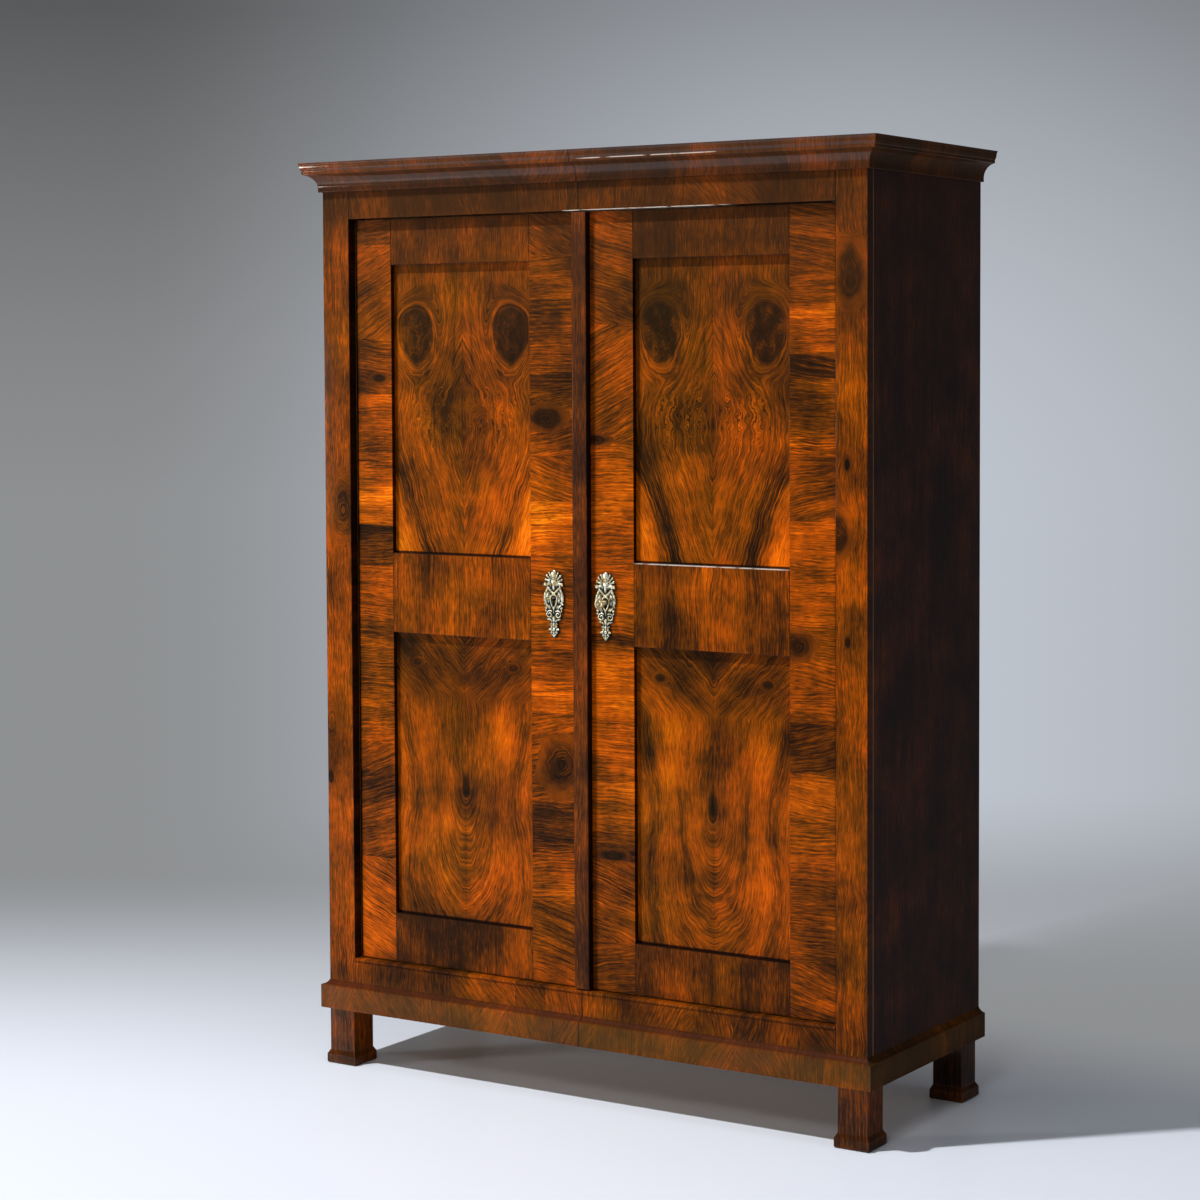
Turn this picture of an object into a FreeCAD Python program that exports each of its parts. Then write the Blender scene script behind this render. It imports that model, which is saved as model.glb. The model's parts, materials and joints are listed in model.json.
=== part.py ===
import FreeCAD, Part
import math
import os
import Sketcher
from types import SimpleNamespace

from FreeCAD import Placement, Rotation, Vector

# Two-door cupboard on block feet, in millimetres. The origin is on the floor under the middle of the
# bounding box: +X to the right of someone facing the doors, +Y to the back, +Z up.

# Each driving dimension, with what it measures.
SIZES = (
    ("carcase_width", 1292, "over the outer faces of the side boards"),
    ("carcase_depth", 484, "from the front of the stiles to the back boards' outer face"),
    ("leg_height", 120, "floor to the underside of the plinth"),
    ("bottom_rail_height", 111, "underside of the plinth to the sill of the door opening"),
    ("opening_height", 1559, "sill to head of the door opening"),
    ("frieze_height", 57.5, "head of the door opening to the cornice"),
    ("cornice_height", 60.5, "whole cornice"),
    ("side_thickness", 22, "side boards"),
    ("front_stile_width", 67.5, "front stiles"),
    ("front_stile_thickness", 24, "front stiles"),
    ("rail_tenon_length", 30, "frieze and bottom rail tenons"),
    ("rail_tenon_thickness", 10, "frieze and bottom rail tenons"),
    ("rail_tenon_inset", 8, "front of the rail to the front of its tenon"),
    ("rail_tenon_shoulder", 12, "rail edge to the edge of its tenon"),
    ("stop_depth", 12, "door stop behind the doors"),
    ("stop_overlap", 11.5, "head stop behind the top edge of the doors"),
    ("sill_stop_rise", 20, "sill to the top of the sill stop"),
    ("stop_gap", 0.5, "closed door to its stop"),
    ("bead_height", 7, "bead along the top of the bottom rail"),
    ("bead_projection", 2, "bead in front of the rail"),
    ("quirk_size", 1.2, "square groove below the bead"),
    ("top_board_thickness", 22, "top boards"),
    ("bottom_board_thickness", 22, "bottom boards"),
    ("back_board_thickness", 12, "back boards"),
    ("back_rebate_width", 10, "rebate in the side boards for the back"),
    ("back_board_gap", 0.5, "between two back boards"),
    ("leg_size", 64, "square legs"),
    ("leg_back_inset", 16, "back face of the cupboard to the back legs"),
    ("leg_spigot_size", 40, "leg top that stands in the corner of the base"),
    ("foot_projection", 5.5, "foot block in front of the leg"),
    ("foot_block_height", 19, "foot block below its flare"),
    ("foot_flare_height", 10, "flare from the foot block up to the leg"),
    ("foot_edge", 2.5, "worn bottom edge of the foot block"),
    ("plinth_projection", 14, "plinth moulding in front of the carcase"),
    ("plinth_height", 60, "whole plinth moulding"),
    ("plinth_face_height", 49, "upright face of the plinth moulding"),
    ("plinth_lip", 2, "flat edge on top of the plinth's face"),
    ("plinth_cove_radius", 18, "cove on top of the plinth moulding"),
    ("cornice_foot_projection", 7, "lower fillet of the cornice"),
    ("cornice_foot_height", 7.7, "lower fillet of the cornice"),
    ("cornice_cove_projection", 31.5, "upper edge of the cove and the fillet above it"),
    ("cornice_cove_top", 36.6, "cornice underside to the upper edge of the cove"),
    ("cornice_cove_radius", 29, "cove of the cornice"),
    ("cornice_fillet_top", 43, "cornice underside to the foot of the ogee"),
    ("cornice_projection", 38, "upper edge of the cornice"),
    ("cornice_ogee_radius", 16, "both bends of the ogee"),
    ("cornice_lip_depth", 24, "part of the cornice that lies on the top boards"),
    ("cornice_lip_height", 18, "part of the cornice above the top boards"),
    ("door_setback", 16, "front of the stiles to the front of the doors"),
    ("door_thickness", 24, "doors"),
    ("door_side_gap", 1.5, "door to the front stile"),
    ("door_head_gap", 2.5, "door to the frieze"),
    ("door_sill_gap", 3, "door to the bottom rail"),
    ("meeting_edge", 19.5, "centre line to the leading edge of the right door"),
    ("meeting_gap", 2, "between the leading edges of the two doors"),
    ("left_hinge_stile_width", 97, "left door"),
    ("left_lock_stile_width", 108.5, "left door"),
    ("right_hinge_stile_width", 106.5, "right door"),
    ("right_lock_stile_width", 136.5, "right door, part of it under the closing strip"),
    ("door_bottom_rail_width", 102, "door rails, measured upright"),
    ("door_middle_rail_width", 166, "door rails, measured upright"),
    ("door_top_rail_width", 94.5, "door rails, measured upright"),
    ("lower_panel_height", 592, "opening for the lower panel"),
    ("panel_recess", 11, "front of the frame to the front of the panel"),
    ("panel_thickness", 10, "panels"),
    ("groove_depth", 8, "grooves for the panels"),
    ("panel_play", 1, "panel edge to the bottom of its groove"),
    ("door_tenon_length", 45, "tenons of the door rails"),
    ("door_tenon_shoulder", 15, "edge of the door rail to the edge of its tenon"),
    ("tenon_play", 0.5, "tenon end to the bottom of its mortise"),
    ("strip_width", 36.5, "closing strip on the right door"),
    ("strip_projection", 15, "closing strip in front of the door"),
    ("strip_round", 4, "rounded front edges of the closing strip"),
    ("pivot_radius", 4, "pivot pin"),
    ("pivot_in_door", 30, "pin's length inside the door"),
    ("pivot_in_socket", 12, "pin's length inside the socket"),
    ("pivot_collar_radius", 7, "collar that carries the door"),
    ("pivot_collar_play", 0.1, "collar to the socket"),
    ("socket_radius", 9, "pivot sockets"),
    ("socket_depth", 15, "pivot sockets"),
    ("running_clearance", 0.05, "round pieces that turn or sit in a hole, at the radius"),
    ("plate_width", 50, "escutcheon plates"),
    ("plate_height", 137, "escutcheon plates"),
    ("plate_thickness", 2.5, "escutcheon plates"),
    ("plate_drop", 6, "middle of the middle rails to the middle of the escutcheon plates"),
    ("left_plate_place", 72, "centre line to the middle of the left plate"),
    ("right_plate_place", 52.5, "centre line to the middle of the right plate and the key"),
    ("rim_height", 30, "raised rim round the keyhole"),
    ("rim_width", 16, "raised rim round the keyhole"),
    ("rim_wall", 3, "raised rim round the keyhole"),
    ("rim_thickness", 1.8, "raised rim in front of the plate"),
    ("keyhole_rise", 8, "middle of the plate to the key's axis"),
    ("keyhole_radius", 3.3, "round part of the keyhole"),
    ("keyhole_slot_width", 3.8, "slot of the keyhole"),
    ("keyhole_slot_drop", 14, "key's axis to the bottom of the slot"),
    ("blind_keyhole_depth", 6, "hollow behind the left plate"),
    ("key_radius", 3, "key's shank"),
    ("key_reach", 13, "door's front to the far end of the key's bow base"),
    ("key_collar_radius", 4.6, "collar of the key"),
    ("key_collar_length", 4, "collar of the key"),
    ("key_bow_height", 22, "bow of the key"),
    ("key_bow_length", 28, "bow of the key"),
    ("key_bow_wire", 4, "bow's ring, seen from the side"),
    ("key_bow_thickness", 4.4, "bow's ring, seen from the front"),
    ("key_bit_radius", 13, "key's axis to the tip of the bit"),
    ("key_bit_thickness", 2.8, "bit of the key"),
    ("key_bit_length", 7, "bit of the key along the shank"),
    ("lock_wall", 2, "walls of the lock case"),
    ("lock_length", 104, "lock case from the door's edge"),
    ("lock_depth", 16, "lock case behind the door"),
    ("lock_rise", 32, "key's axis to the top of the lock case"),
    ("lock_drop", 36, "key's axis to the bottom of the lock case"),
    ("lock_bolt_rise", 11, "key's axis to the underside of the lock bolt"),
    ("lock_bolt_height", 13, "lock bolt"),
    ("lock_bolt_thickness", 8, "lock bolt"),
    ("lock_bolt_length", 96, "lock bolt"),
    ("lock_bolt_throw", 10, "travel of the lock bolt"),
    ("lock_bolt_play", 0.1, "lock bolt in its slot, each side"),
    ("lock_end_play", 0.3, "end of the key or the bolt to the lock case"),
    ("talon_width", 23, "notch in the bolt that the bit turns in"),
    ("talon_depth", 4, "notch in the bolt that the bit turns in"),
    ("keep_length", 24, "keep on the left door"),
    ("keep_margin", 6, "bolt pocket to the keep's upper and lower ends"),
    ("keep_play", 0.6, "bolt in the keep, each side"),
    ("slide_place", 46, "centre line to the slide bolts"),
    ("slide_width", 10, "slide bolts"),
    ("slide_thickness", 6, "slide bolts"),
    ("slide_length", 120, "slide bolts"),
    ("slide_rest_gap", 6, "retracted slide bolt to the stop it shoots into"),
    ("slide_throw", 15, "travel of the slide bolts"),
    ("slide_play", 0.2, "slide bolt in its staples, each side"),
    ("slide_hole_play", 1, "slide bolt in the hole of the stop, each side"),
    ("slide_knob_radius", 5, "knob of the slide bolts"),
    ("slide_knob_length", 12, "knob of the slide bolts"),
    ("guide_width", 26, "back plate of the slide bolts"),
    ("guide_thickness", 2.5, "back plate of the slide bolts"),
    ("guide_length", 90, "back plate of the slide bolts"),
    ("guide_end_gap", 12, "bolt's tip to the back plate"),
    ("staple_length", 10, "staples over the slide bolts"),
    ("staple_wall", 2.5, "staples over the slide bolts"),
    ("batten_thickness", 22, "centre battens"),
    ("batten_height", 40, "centre battens"),
    ("batten_end_gap", 10, "centre batten to the rails in front of it and behind it"),
    ("joining_bolt_radius", 4, "joining bolts"),
    ("joining_bolt_play", 0.3, "joining bolts in the battens, at the radius"),
    ("joining_bolt_inset", 85, "batten end to the joining bolt"),
    ("joining_head_radius", 7.5, "six-sided heads and nuts, over the corners"),
    ("joining_head_height", 5.5, "six-sided heads"),
    ("joining_nut_height", 6.5, "six-sided nuts"),
    ("joining_thread_end", 3, "bolt's end beyond its nut"),
    ("hat_space_height", 268, "top of the hat shelf to the underside of the centre battens"),
    ("shelf_thickness", 20, "hat shelf"),
    ("shelf_front_gap", 40, "back of the frieze to the front of the hat shelf"),
    ("shelf_play", 1, "shelf to the side boards and the back"),
    ("shelf_batten_height", 30, "battens under the hat shelf"),
    ("shelf_batten_thickness", 18, "battens under the hat shelf"),
    ("hanging_rail_radius", 12.5, "hanging rail"),
    ("hanging_rail_drop", 70, "underside of the hat shelf to the rail's axis"),
    ("hanging_rail_play", 0.3, "rail in its cups, at the radius"),
    ("cup_radius", 21, "cups of the hanging rail"),
    ("cup_length", 14, "cups of the hanging rail"),
    ("overrun", 1, "cutting tools beyond the piece they cut"),
)

BACK_BOARD_COUNT = 6

# The right half of the escutcheon's edge, from its top to its bottom: shares of half the plate's width
# and half its height, and the radius of the lobe that follows as a share of the plate's width.
PLATE_EDGE_SHARES = (
    (0, 1, 0.17),
    (0.28, 0.86, 0.12),
    (0.56, 0.74, 0.13),
    (0.74, 0.58, 0.14),
    (0.66, 0.40, 0.36),
    (0.96, 0.06, 0.50),
    (0.76, -0.28, 0.17),
    (0.62, -0.44, 0.12),
    (0.50, -0.60, 0.32),
    (0.44, -0.88, 0.26),
    (0, -1, 0),
)

LEFT = -1
RIGHT = 1

document = FreeCAD.newDocument("Cupboard")
sheet = document.addObject("Spreadsheet::Sheet", "Sizes")
nodes = []


class Size:
    """A length worked out from the sheet: its formula in the sheet's names and its present value."""

    def __init__(self, formula, value):
        self.formula = formula
        self.value = value

    def __add__(self, other):
        return joined(self, "+", other, self.value + amount(other))

    def __radd__(self, other):
        return joined(other, "+", self, amount(other) + self.value)

    def __sub__(self, other):
        return joined(self, "-", other, self.value - amount(other))

    def __rsub__(self, other):
        return joined(other, "-", self, amount(other) - self.value)

    def __mul__(self, other):
        return joined(self, "*", other, self.value * amount(other))

    def __rmul__(self, other):
        return joined(other, "*", self, amount(other) * self.value)

    def __truediv__(self, other):
        return joined(self, "/", other, self.value / amount(other))

    def __neg__(self):
        return joined(0, "-", self, -self.value)


ZERO = Size("0", 0)


def amount(item):
    """The number that a Size or a plain number stands for."""
    return item.value if isinstance(item, Size) else item


def formula(item):
    """The sheet formula of a Size or a plain number."""
    return item.formula if isinstance(item, Size) else f"{item:.6f}"


def joined(first, sign, second, value):
    return Size(f"({formula(first)} {sign} {formula(second)})", value)


def root(item):
    return Size(f"sqrt({formula(item)})", math.sqrt(amount(item)))


def bind(item, name, size):
    """Ties one property of a document object to the sheet."""
    item.setExpression(name, formula(size))


def place(item, x, y, z, turn=None):
    """Puts a document object at a point written in sheet sizes, turned if a rotation is given."""
    item.Placement = Placement(Vector(amount(x), amount(y), amount(z)), turn or Rotation())
    bind(item, "Placement.Base.x", x)
    bind(item, "Placement.Base.y", y)
    bind(item, "Placement.Base.z", z)
    return item


def span(side, near, far):
    """Limits along a line, in rising order, of what lies from near to far on one side of the middle."""
    return (near, far) if side == RIGHT else (-far, -near)


def block(x, y, z):
    """A rectangular solid between a low and a high limit along each axis."""
    item = document.addObject("Part::Box", "Block")
    for name, limits in (("Length", x), ("Width", y), ("Height", z)):
        bind(item, name, limits[1] - limits[0])
    return place(item, x[0], y[0], z[0])


ALONG = {
    "x": Rotation(Vector(0, 1, 0), 90),
    "y": Rotation(Vector(1, 0, 0), -90),
    "z": Rotation(),
}


def cylinder(axis, x, y, z, radius, length):
    """A round solid that starts at a point and runs along one axis."""
    item = document.addObject("Part::Cylinder", "Round")
    bind(item, "Radius", radius)
    bind(item, "Height", length)
    return place(item, x, y, z, ALONG[axis])


def six_sided(x, y, z, radius, length):
    """A six-sided bolt head or nut that starts at a point and runs along X."""
    item = document.addObject("Part::Prism", "SixSided")
    item.Polygon = 6
    bind(item, "Circumradius", radius)
    bind(item, "Height", length)
    return place(item, x, y, z, ALONG["x"])


def flare(x, y, z, narrowing, upward=True):
    """A solid with a rectangular base whose four sides lean in by narrowing over its height."""
    item = document.addObject("Part::Wedge", "Flare")
    width = x[1] - x[0]
    depth = y[1] - y[0]
    height = z[1] - z[0]
    item.Ymin = 0
    bind(item, "Ymax", height)
    lower = 0 if upward else narrowing
    upper = narrowing if upward else 0
    for name, size in (
        ("Xmin", lower), ("Xmax", width - lower), ("X2min", upper), ("X2max", width - upper),
        ("Zmin", lower), ("Zmax", depth - lower), ("Z2min", upper), ("Z2max", depth - upper),
    ):
        bind(item, name, size)
    # The wedge rises along its own Y axis and is stood upright here.
    return place(item, x[0], y[1], z[0], Rotation(Vector(1, 0, 0), 90))


def fused(parts):
    if len(parts) == 1:
        return parts[0]
    item = document.addObject("Part::MultiFuse", "Fused")
    item.Shapes = parts
    item.Refine = True
    return item


def cut(base, tools):
    """The base less all the tools."""
    item = document.addObject("Part::Cut", "Cut")
    item.Base = base
    item.Tool = fused(tools)
    return item


def gathered(parts):
    """Separate solids that share one node."""
    item = document.addObject("Part::Compound", "Group")
    item.Links = parts
    return item


def node(name, item):
    """Names a finished piece and puts it on the list of pieces to write out."""
    item.Label = name
    nodes.append(item)
    return item


def origin_plane(body, role):
    return next(plane for plane in body.Origin.OriginFeatures if plane.Role == role)


def new_sketch(body, role, name):
    sketch = body.newObject("Sketcher::SketchObject", name)
    sketch.AttachmentSupport = (origin_plane(body, role), [""])
    sketch.MapMode = "FlatFace"
    return sketch


def bind_constraint(sketch, constraint, size):
    number = sketch.addConstraint(constraint)
    sketch.setExpression(f"Constraints[{number}]", formula(size))


def arc_through(start, end, radius):
    """A short arc between two points; it bulges to the right of the way for a positive radius."""
    half = (end - start) * 0.5
    chord = end - start
    right = Vector(chord.y, -chord.x, 0).normalize()
    sagitta = abs(radius) - math.sqrt(radius * radius - half.Length * half.Length)
    middle = start + half + right * math.copysign(sagitta, radius)
    return Part.Arc(start, middle, end)


def draw_outline(sketch, corners):
    """Draws a closed outline. A corner is (across, up), or (across, up, radius) where an arc leads on."""
    count = len(corners)
    first = sketch.GeometryCount
    points = [Vector(amount(corner[0]), amount(corner[1]), 0) for corner in corners]
    for index, corner in enumerate(corners):
        end = points[(index + 1) % count]
        if len(corner) == 3:
            sketch.addGeometry(arc_through(points[index], end, amount(corner[2])))
        else:
            sketch.addGeometry(Part.LineSegment(points[index], end))
    starts, ends = [], []
    for index in range(count):
        tail, tip = (sketch.getPoint(first + index, number) for number in (1, 2))
        forward = tail.distanceToPoint(points[index]) < tip.distanceToPoint(points[index])
        starts.append(1 if forward else 2)
        ends.append(2 if forward else 1)
    for index, corner in enumerate(corners):
        onward = (index + 1) % count
        sketch.addConstraint(
            Sketcher.Constraint("Coincident", first + index, ends[index], first + onward, starts[onward])
        )
        for kind, size in (("DistanceX", corner[0]), ("DistanceY", corner[1])):
            bind_constraint(
                sketch,
                Sketcher.Constraint(kind, -1, 1, first + index, starts[index], amount(size)),
                size,
            )
        if len(corner) == 3:
            magnitude = corner[2] if amount(corner[2]) > 0 else -corner[2]
            bind_constraint(
                sketch,
                Sketcher.Constraint("Radius", first + index, amount(magnitude)),
                magnitude,
            )


def padded(role, outlines, length, name, backwards=False):
    """A new body whose first feature is a pad of closed outlines on one of its origin planes."""
    body = document.addObject("PartDesign::Body", name)
    sketch = new_sketch(body, role, "Outline")
    for outline in outlines:
        draw_outline(sketch, outline)
    pad = body.newObject("PartDesign::Pad", "Pad")
    pad.Profile = sketch
    bind(pad, "Length", length)
    pad.Reversed = backwards
    sketch.Visibility = False
    return body


for row, (alias, value, meaning) in enumerate(SIZES, start=1):
    sheet.set(f"A{row}", meaning)
    sheet.set(f"B{row}", str(value))
    sheet.setAlias(f"B{row}", alias)
document.recompute()
S = SimpleNamespace(**{alias: Size(f"Sizes.{alias}", value) for alias, value, meaning in SIZES})

# Levels above the floor.
SILL = S.leg_height + S.bottom_rail_height
HEAD = SILL + S.opening_height
CORNICE = HEAD + S.frieze_height
SUMMIT = CORNICE + S.cornice_height
LID_TOP = SUMMIT - S.cornice_lip_height
LID = LID_TOP - S.top_board_thickness
FLOOR_BOARD_TOP = SILL + S.sill_stop_rise
FLOOR_BOARD = FLOOR_BOARD_TOP - S.bottom_board_thickness
DOOR_BOTTOM = SILL + S.door_sill_gap
DOOR_TOP = HEAD - S.door_head_gap
LOWER_PANEL_BOTTOM = DOOR_BOTTOM + S.door_bottom_rail_width
LOWER_PANEL_TOP = LOWER_PANEL_BOTTOM + S.lower_panel_height
UPPER_PANEL_BOTTOM = LOWER_PANEL_TOP + S.door_middle_rail_width
UPPER_PANEL_TOP = DOOR_TOP - S.door_top_rail_width
PLATE_LEVEL = (LOWER_PANEL_TOP + UPPER_PANEL_BOTTOM) / 2 - S.plate_drop
KEY_LEVEL = PLATE_LEVEL + S.keyhole_rise
SHELF_TOP = LID - S.batten_height - S.hat_space_height
SHELF = SHELF_TOP - S.shelf_thickness

# Planes across the depth, from front to back.
FRONT = (S.cornice_projection - S.carcase_depth) / 2
BACK = FRONT + S.carcase_depth
DOOR_FRONT = FRONT + S.door_setback
DOOR_BACK = DOOR_FRONT + S.door_thickness
STOP = DOOR_BACK + S.stop_gap
RAIL_BACK = STOP + S.stop_depth
PANEL_FRONT = DOOR_FRONT + S.panel_recess
PANEL_BACK = PANEL_FRONT + S.panel_thickness
BACK_BOARD_FRONT = BACK - S.back_board_thickness
# The hinge edge of a door is a half round about the pivot's axis.
NOSE_RADIUS = S.door_thickness / 2
PIVOT_DEPTH = DOOR_FRONT + NOSE_RADIUS

# Distances from the centre line.
OUTSIDE = S.carcase_width / 2
INSIDE = OUTSIDE - S.side_thickness
OPENING = OUTSIDE - S.front_stile_width
DOOR_EDGE = OPENING - S.door_side_gap
PIVOT_PLACE = DOOR_EDGE - NOSE_RADIUS

SIDE_NAMES = {LEFT: "left", RIGHT: "right"}


def rail_tenon(side, low, high, play):
    """The tenon of a carcase rail in its front stile, or its mortise when play is given."""
    return block(
        span(side, OPENING - S.overrun, OPENING + S.rail_tenon_length + play),
        (FRONT + S.rail_tenon_inset, FRONT + S.rail_tenon_inset + S.rail_tenon_thickness),
        (low + S.rail_tenon_shoulder, high - S.rail_tenon_shoulder),
    )


def rail_body(side, outline, name):
    """A rail of the given cross-section, from the centre line to the front stile.

    The outline is (inward from the front, up).
    """
    body = padded("YZ_Plane", [outline], OPENING, name)
    return place(body, -OPENING if side == LEFT else ZERO, FRONT, ZERO)


def socket_bore(side, low, high):
    return cylinder(
        "z", side * PIVOT_PLACE, PIVOT_DEPTH, low, S.socket_radius + S.running_clearance, high - low
    )


def slide_hole(low, high):
    """The hole in a door stop that a slide bolt shoots into."""
    return block(
        (
            -S.slide_place - S.slide_width / 2 - S.slide_hole_play,
            -S.slide_place + S.slide_width / 2 + S.slide_hole_play,
        ),
        (
            DOOR_BACK + S.guide_thickness + S.slide_play - S.slide_hole_play,
            DOOR_BACK + S.guide_thickness + S.slide_play + S.slide_thickness + S.slide_hole_play,
        ),
        (low, high),
    )


SLIDE_HOLE_DEPTH = S.slide_throw - S.slide_rest_gap + S.slide_hole_play


def build_front(side):
    """Front stile, frieze rail and bottom rail of one half."""
    name = SIDE_NAMES[side]
    stop_inset = STOP - FRONT
    back_inset = RAIL_BACK - FRONT

    frieze = rail_body(
        side,
        [
            (ZERO, HEAD),
            (stop_inset, HEAD),
            (stop_inset, DOOR_TOP - S.stop_overlap),
            (back_inset, DOOR_TOP - S.stop_overlap),
            (back_inset, LID),
            (ZERO, LID),
        ],
        "Frieze",
    )
    bores = [socket_bore(side, HEAD - S.overrun, HEAD + S.socket_depth)]
    if side == LEFT:
        bores.append(
            slide_hole(
                DOOR_TOP - S.stop_overlap - S.overrun,
                DOOR_TOP - S.stop_overlap + SLIDE_HOLE_DEPTH,
            )
        )
    tenoned = fused([frieze, rail_tenon(side, HEAD, LID, 0)])
    node(f"frieze_{name}", cut(tenoned, bores))

    bead_foot = SILL - S.bead_height
    bead_radius = (
        S.bead_height * S.bead_height / 4 + S.bead_projection * S.bead_projection
    ) / (2 * S.bead_projection)
    bottom_rail = rail_body(
        side,
        [
            (ZERO, S.leg_height),
            (back_inset, S.leg_height),
            (back_inset, FLOOR_BOARD_TOP),
            (stop_inset, FLOOR_BOARD_TOP),
            (stop_inset, SILL),
            (ZERO, SILL, bead_radius),
            (ZERO, bead_foot),
            (S.quirk_size, bead_foot),
            (S.quirk_size, bead_foot - S.quirk_size),
            (ZERO, bead_foot - S.quirk_size),
        ],
        "BottomRail",
    )
    bores = [socket_bore(side, SILL - S.socket_depth, SILL + S.overrun)]
    if side == LEFT:
        bores.append(slide_hole(FLOOR_BOARD_TOP - SLIDE_HOLE_DEPTH, FLOOR_BOARD_TOP + S.overrun))
    tenoned = fused([bottom_rail, rail_tenon(side, S.leg_height, SILL, 0)])
    node(f"bottom_rail_{name}", cut(tenoned, bores))

    stile = block(
        span(side, OPENING, OUTSIDE), (FRONT, FRONT + S.front_stile_thickness), (S.leg_height, LID)
    )
    mortises = [
        rail_tenon(side, HEAD, LID, S.tenon_play),
        rail_tenon(side, S.leg_height, SILL, S.tenon_play),
    ]
    node(f"stile_{name}", cut(stile, mortises))


def build_boards(side):
    """Side, top and bottom boards of one half."""
    name = SIDE_NAMES[side]
    side_board = block(
        span(side, INSIDE, OUTSIDE), (FRONT + S.front_stile_thickness, BACK), (S.leg_height, LID)
    )
    rebate = block(
        span(side, INSIDE - S.overrun, INSIDE + S.back_rebate_width),
        (BACK_BOARD_FRONT, BACK + S.overrun),
        (FLOOR_BOARD, LID + S.overrun),
    )
    node(f"side_{name}", cut(side_board, [rebate]))
    node(f"top_board_{name}", block(span(side, ZERO, OUTSIDE), (FRONT, BACK), (LID, LID_TOP)))
    node(
        f"bottom_board_{name}",
        block(
            span(side, ZERO, INSIDE), (RAIL_BACK, BACK_BOARD_FRONT), (FLOOR_BOARD, FLOOR_BOARD_TOP)
        ),
    )


def build_back():
    """Back boards in their rebates, and the rail of the base that they stand on."""
    reach = INSIDE + S.back_rebate_width
    pitch = 2 * reach / BACK_BOARD_COUNT
    boards = []
    for index in range(BACK_BOARD_COUNT):
        start = pitch * index - reach
        boards.append(
            block(
                (start + S.back_board_gap / 2, start + pitch - S.back_board_gap / 2),
                (BACK_BOARD_FRONT, BACK),
                (FLOOR_BOARD, LID),
            )
        )
    node("back_boards", gathered(boards))
    halves = [
        block(
            span(side, ZERO, INSIDE), (BACK - S.leg_back_inset, BACK), (S.leg_height, FLOOR_BOARD)
        )
        for side in (LEFT, RIGHT)
    ]
    node("base_back_rails", gathered(halves))


def moulding(outline, projection, inner, corner, far, rotation, mitre_at_end, x, y, z, name):
    """A moulding that runs along its body's Y axis and has a mitre at the carcase's corner.

    The outline is (outward, up), from the carcase's face. The mitre is at the corner plus the
    projection, and the other, square end is at far.
    """
    if mitre_at_end:
        length = corner + projection - far
        body = padded("XZ_Plane", [outline], length, name, backwards=True)
        shift = far
        triangle = [
            (-inner, corner - inner),
            (projection, corner + projection),
            (projection, corner + projection + S.overrun),
            (-inner, corner + projection + S.overrun),
        ]
    else:
        length = far - corner + projection
        body = padded("XZ_Plane", [outline], length, name, backwards=True)
        shift = corner - projection
        triangle = [
            (-inner, corner + inner),
            (-inner, corner - projection - S.overrun),
            (projection, corner - projection - S.overrun),
            (projection, corner - projection),
        ]
    sketch = body.Group[0]
    bind(sketch, "AttachmentOffset.Base.z", -shift)
    waste = padded("XY_Plane", [triangle], SUMMIT, "Waste")
    document.recompute()
    for item in (body, waste):
        place(item, x, y, z if item is body else ZERO, rotation)
    return cut(body, [waste])


FACING = {
    "front": Rotation(Vector(0, 0, 1), -90),
    RIGHT: Rotation(),
    LEFT: Rotation(Vector(0, 0, 1), 180),
}


def build_moulding_ring(kind, outline, projection, inner, level):
    """The two front lengths and the two side lengths of the cornice or the plinth."""
    for side in (LEFT, RIGHT):
        name = SIDE_NAMES[side]
        at_end = side == RIGHT
        node(
            f"{kind}_front_{name}",
            moulding(
                outline, projection, inner, side * OUTSIDE, ZERO, FACING["front"], at_end,
                ZERO, FRONT, level, "FrontMoulding",
            ),
        )
        # A side length runs to the back. On the left its body is turned round, so its front end is last.
        at_end = side == LEFT
        node(
            f"{kind}_side_{name}",
            moulding(
                outline, projection, inner, side * FRONT, side * BACK, FACING[side], at_end,
                side * OUTSIDE, ZERO, level, "SideMoulding",
            ),
        )


def build_cornice():
    ogee_middle = (
        (S.cornice_cove_projection + S.cornice_projection) / 2,
        (S.cornice_fillet_top + S.cornice_height) / 2,
    )
    outline = [
        (ZERO, ZERO),
        (S.cornice_foot_projection, ZERO),
        (S.cornice_foot_projection, S.cornice_foot_height, -S.cornice_cove_radius),
        (S.cornice_cove_projection, S.cornice_cove_top),
        (S.cornice_cove_projection, S.cornice_fillet_top, S.cornice_ogee_radius),
        (ogee_middle[0], ogee_middle[1], -S.cornice_ogee_radius),
        (S.cornice_projection, S.cornice_height),
        (-S.cornice_lip_depth, S.cornice_height),
        (-S.cornice_lip_depth, S.cornice_height - S.cornice_lip_height),
        (ZERO, S.cornice_height - S.cornice_lip_height),
    ]
    build_moulding_ring("cornice", outline, S.cornice_projection, S.cornice_lip_depth, CORNICE)


def build_plinth():
    outline = [
        (ZERO, ZERO),
        (S.plinth_projection, ZERO),
        (S.plinth_projection, S.plinth_face_height),
        (S.plinth_projection - S.plinth_lip, S.plinth_face_height, -S.plinth_cove_radius),
        (ZERO, S.plinth_height),
    ]
    build_moulding_ring("plinth", outline, S.plinth_projection, ZERO, S.leg_height)


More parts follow.
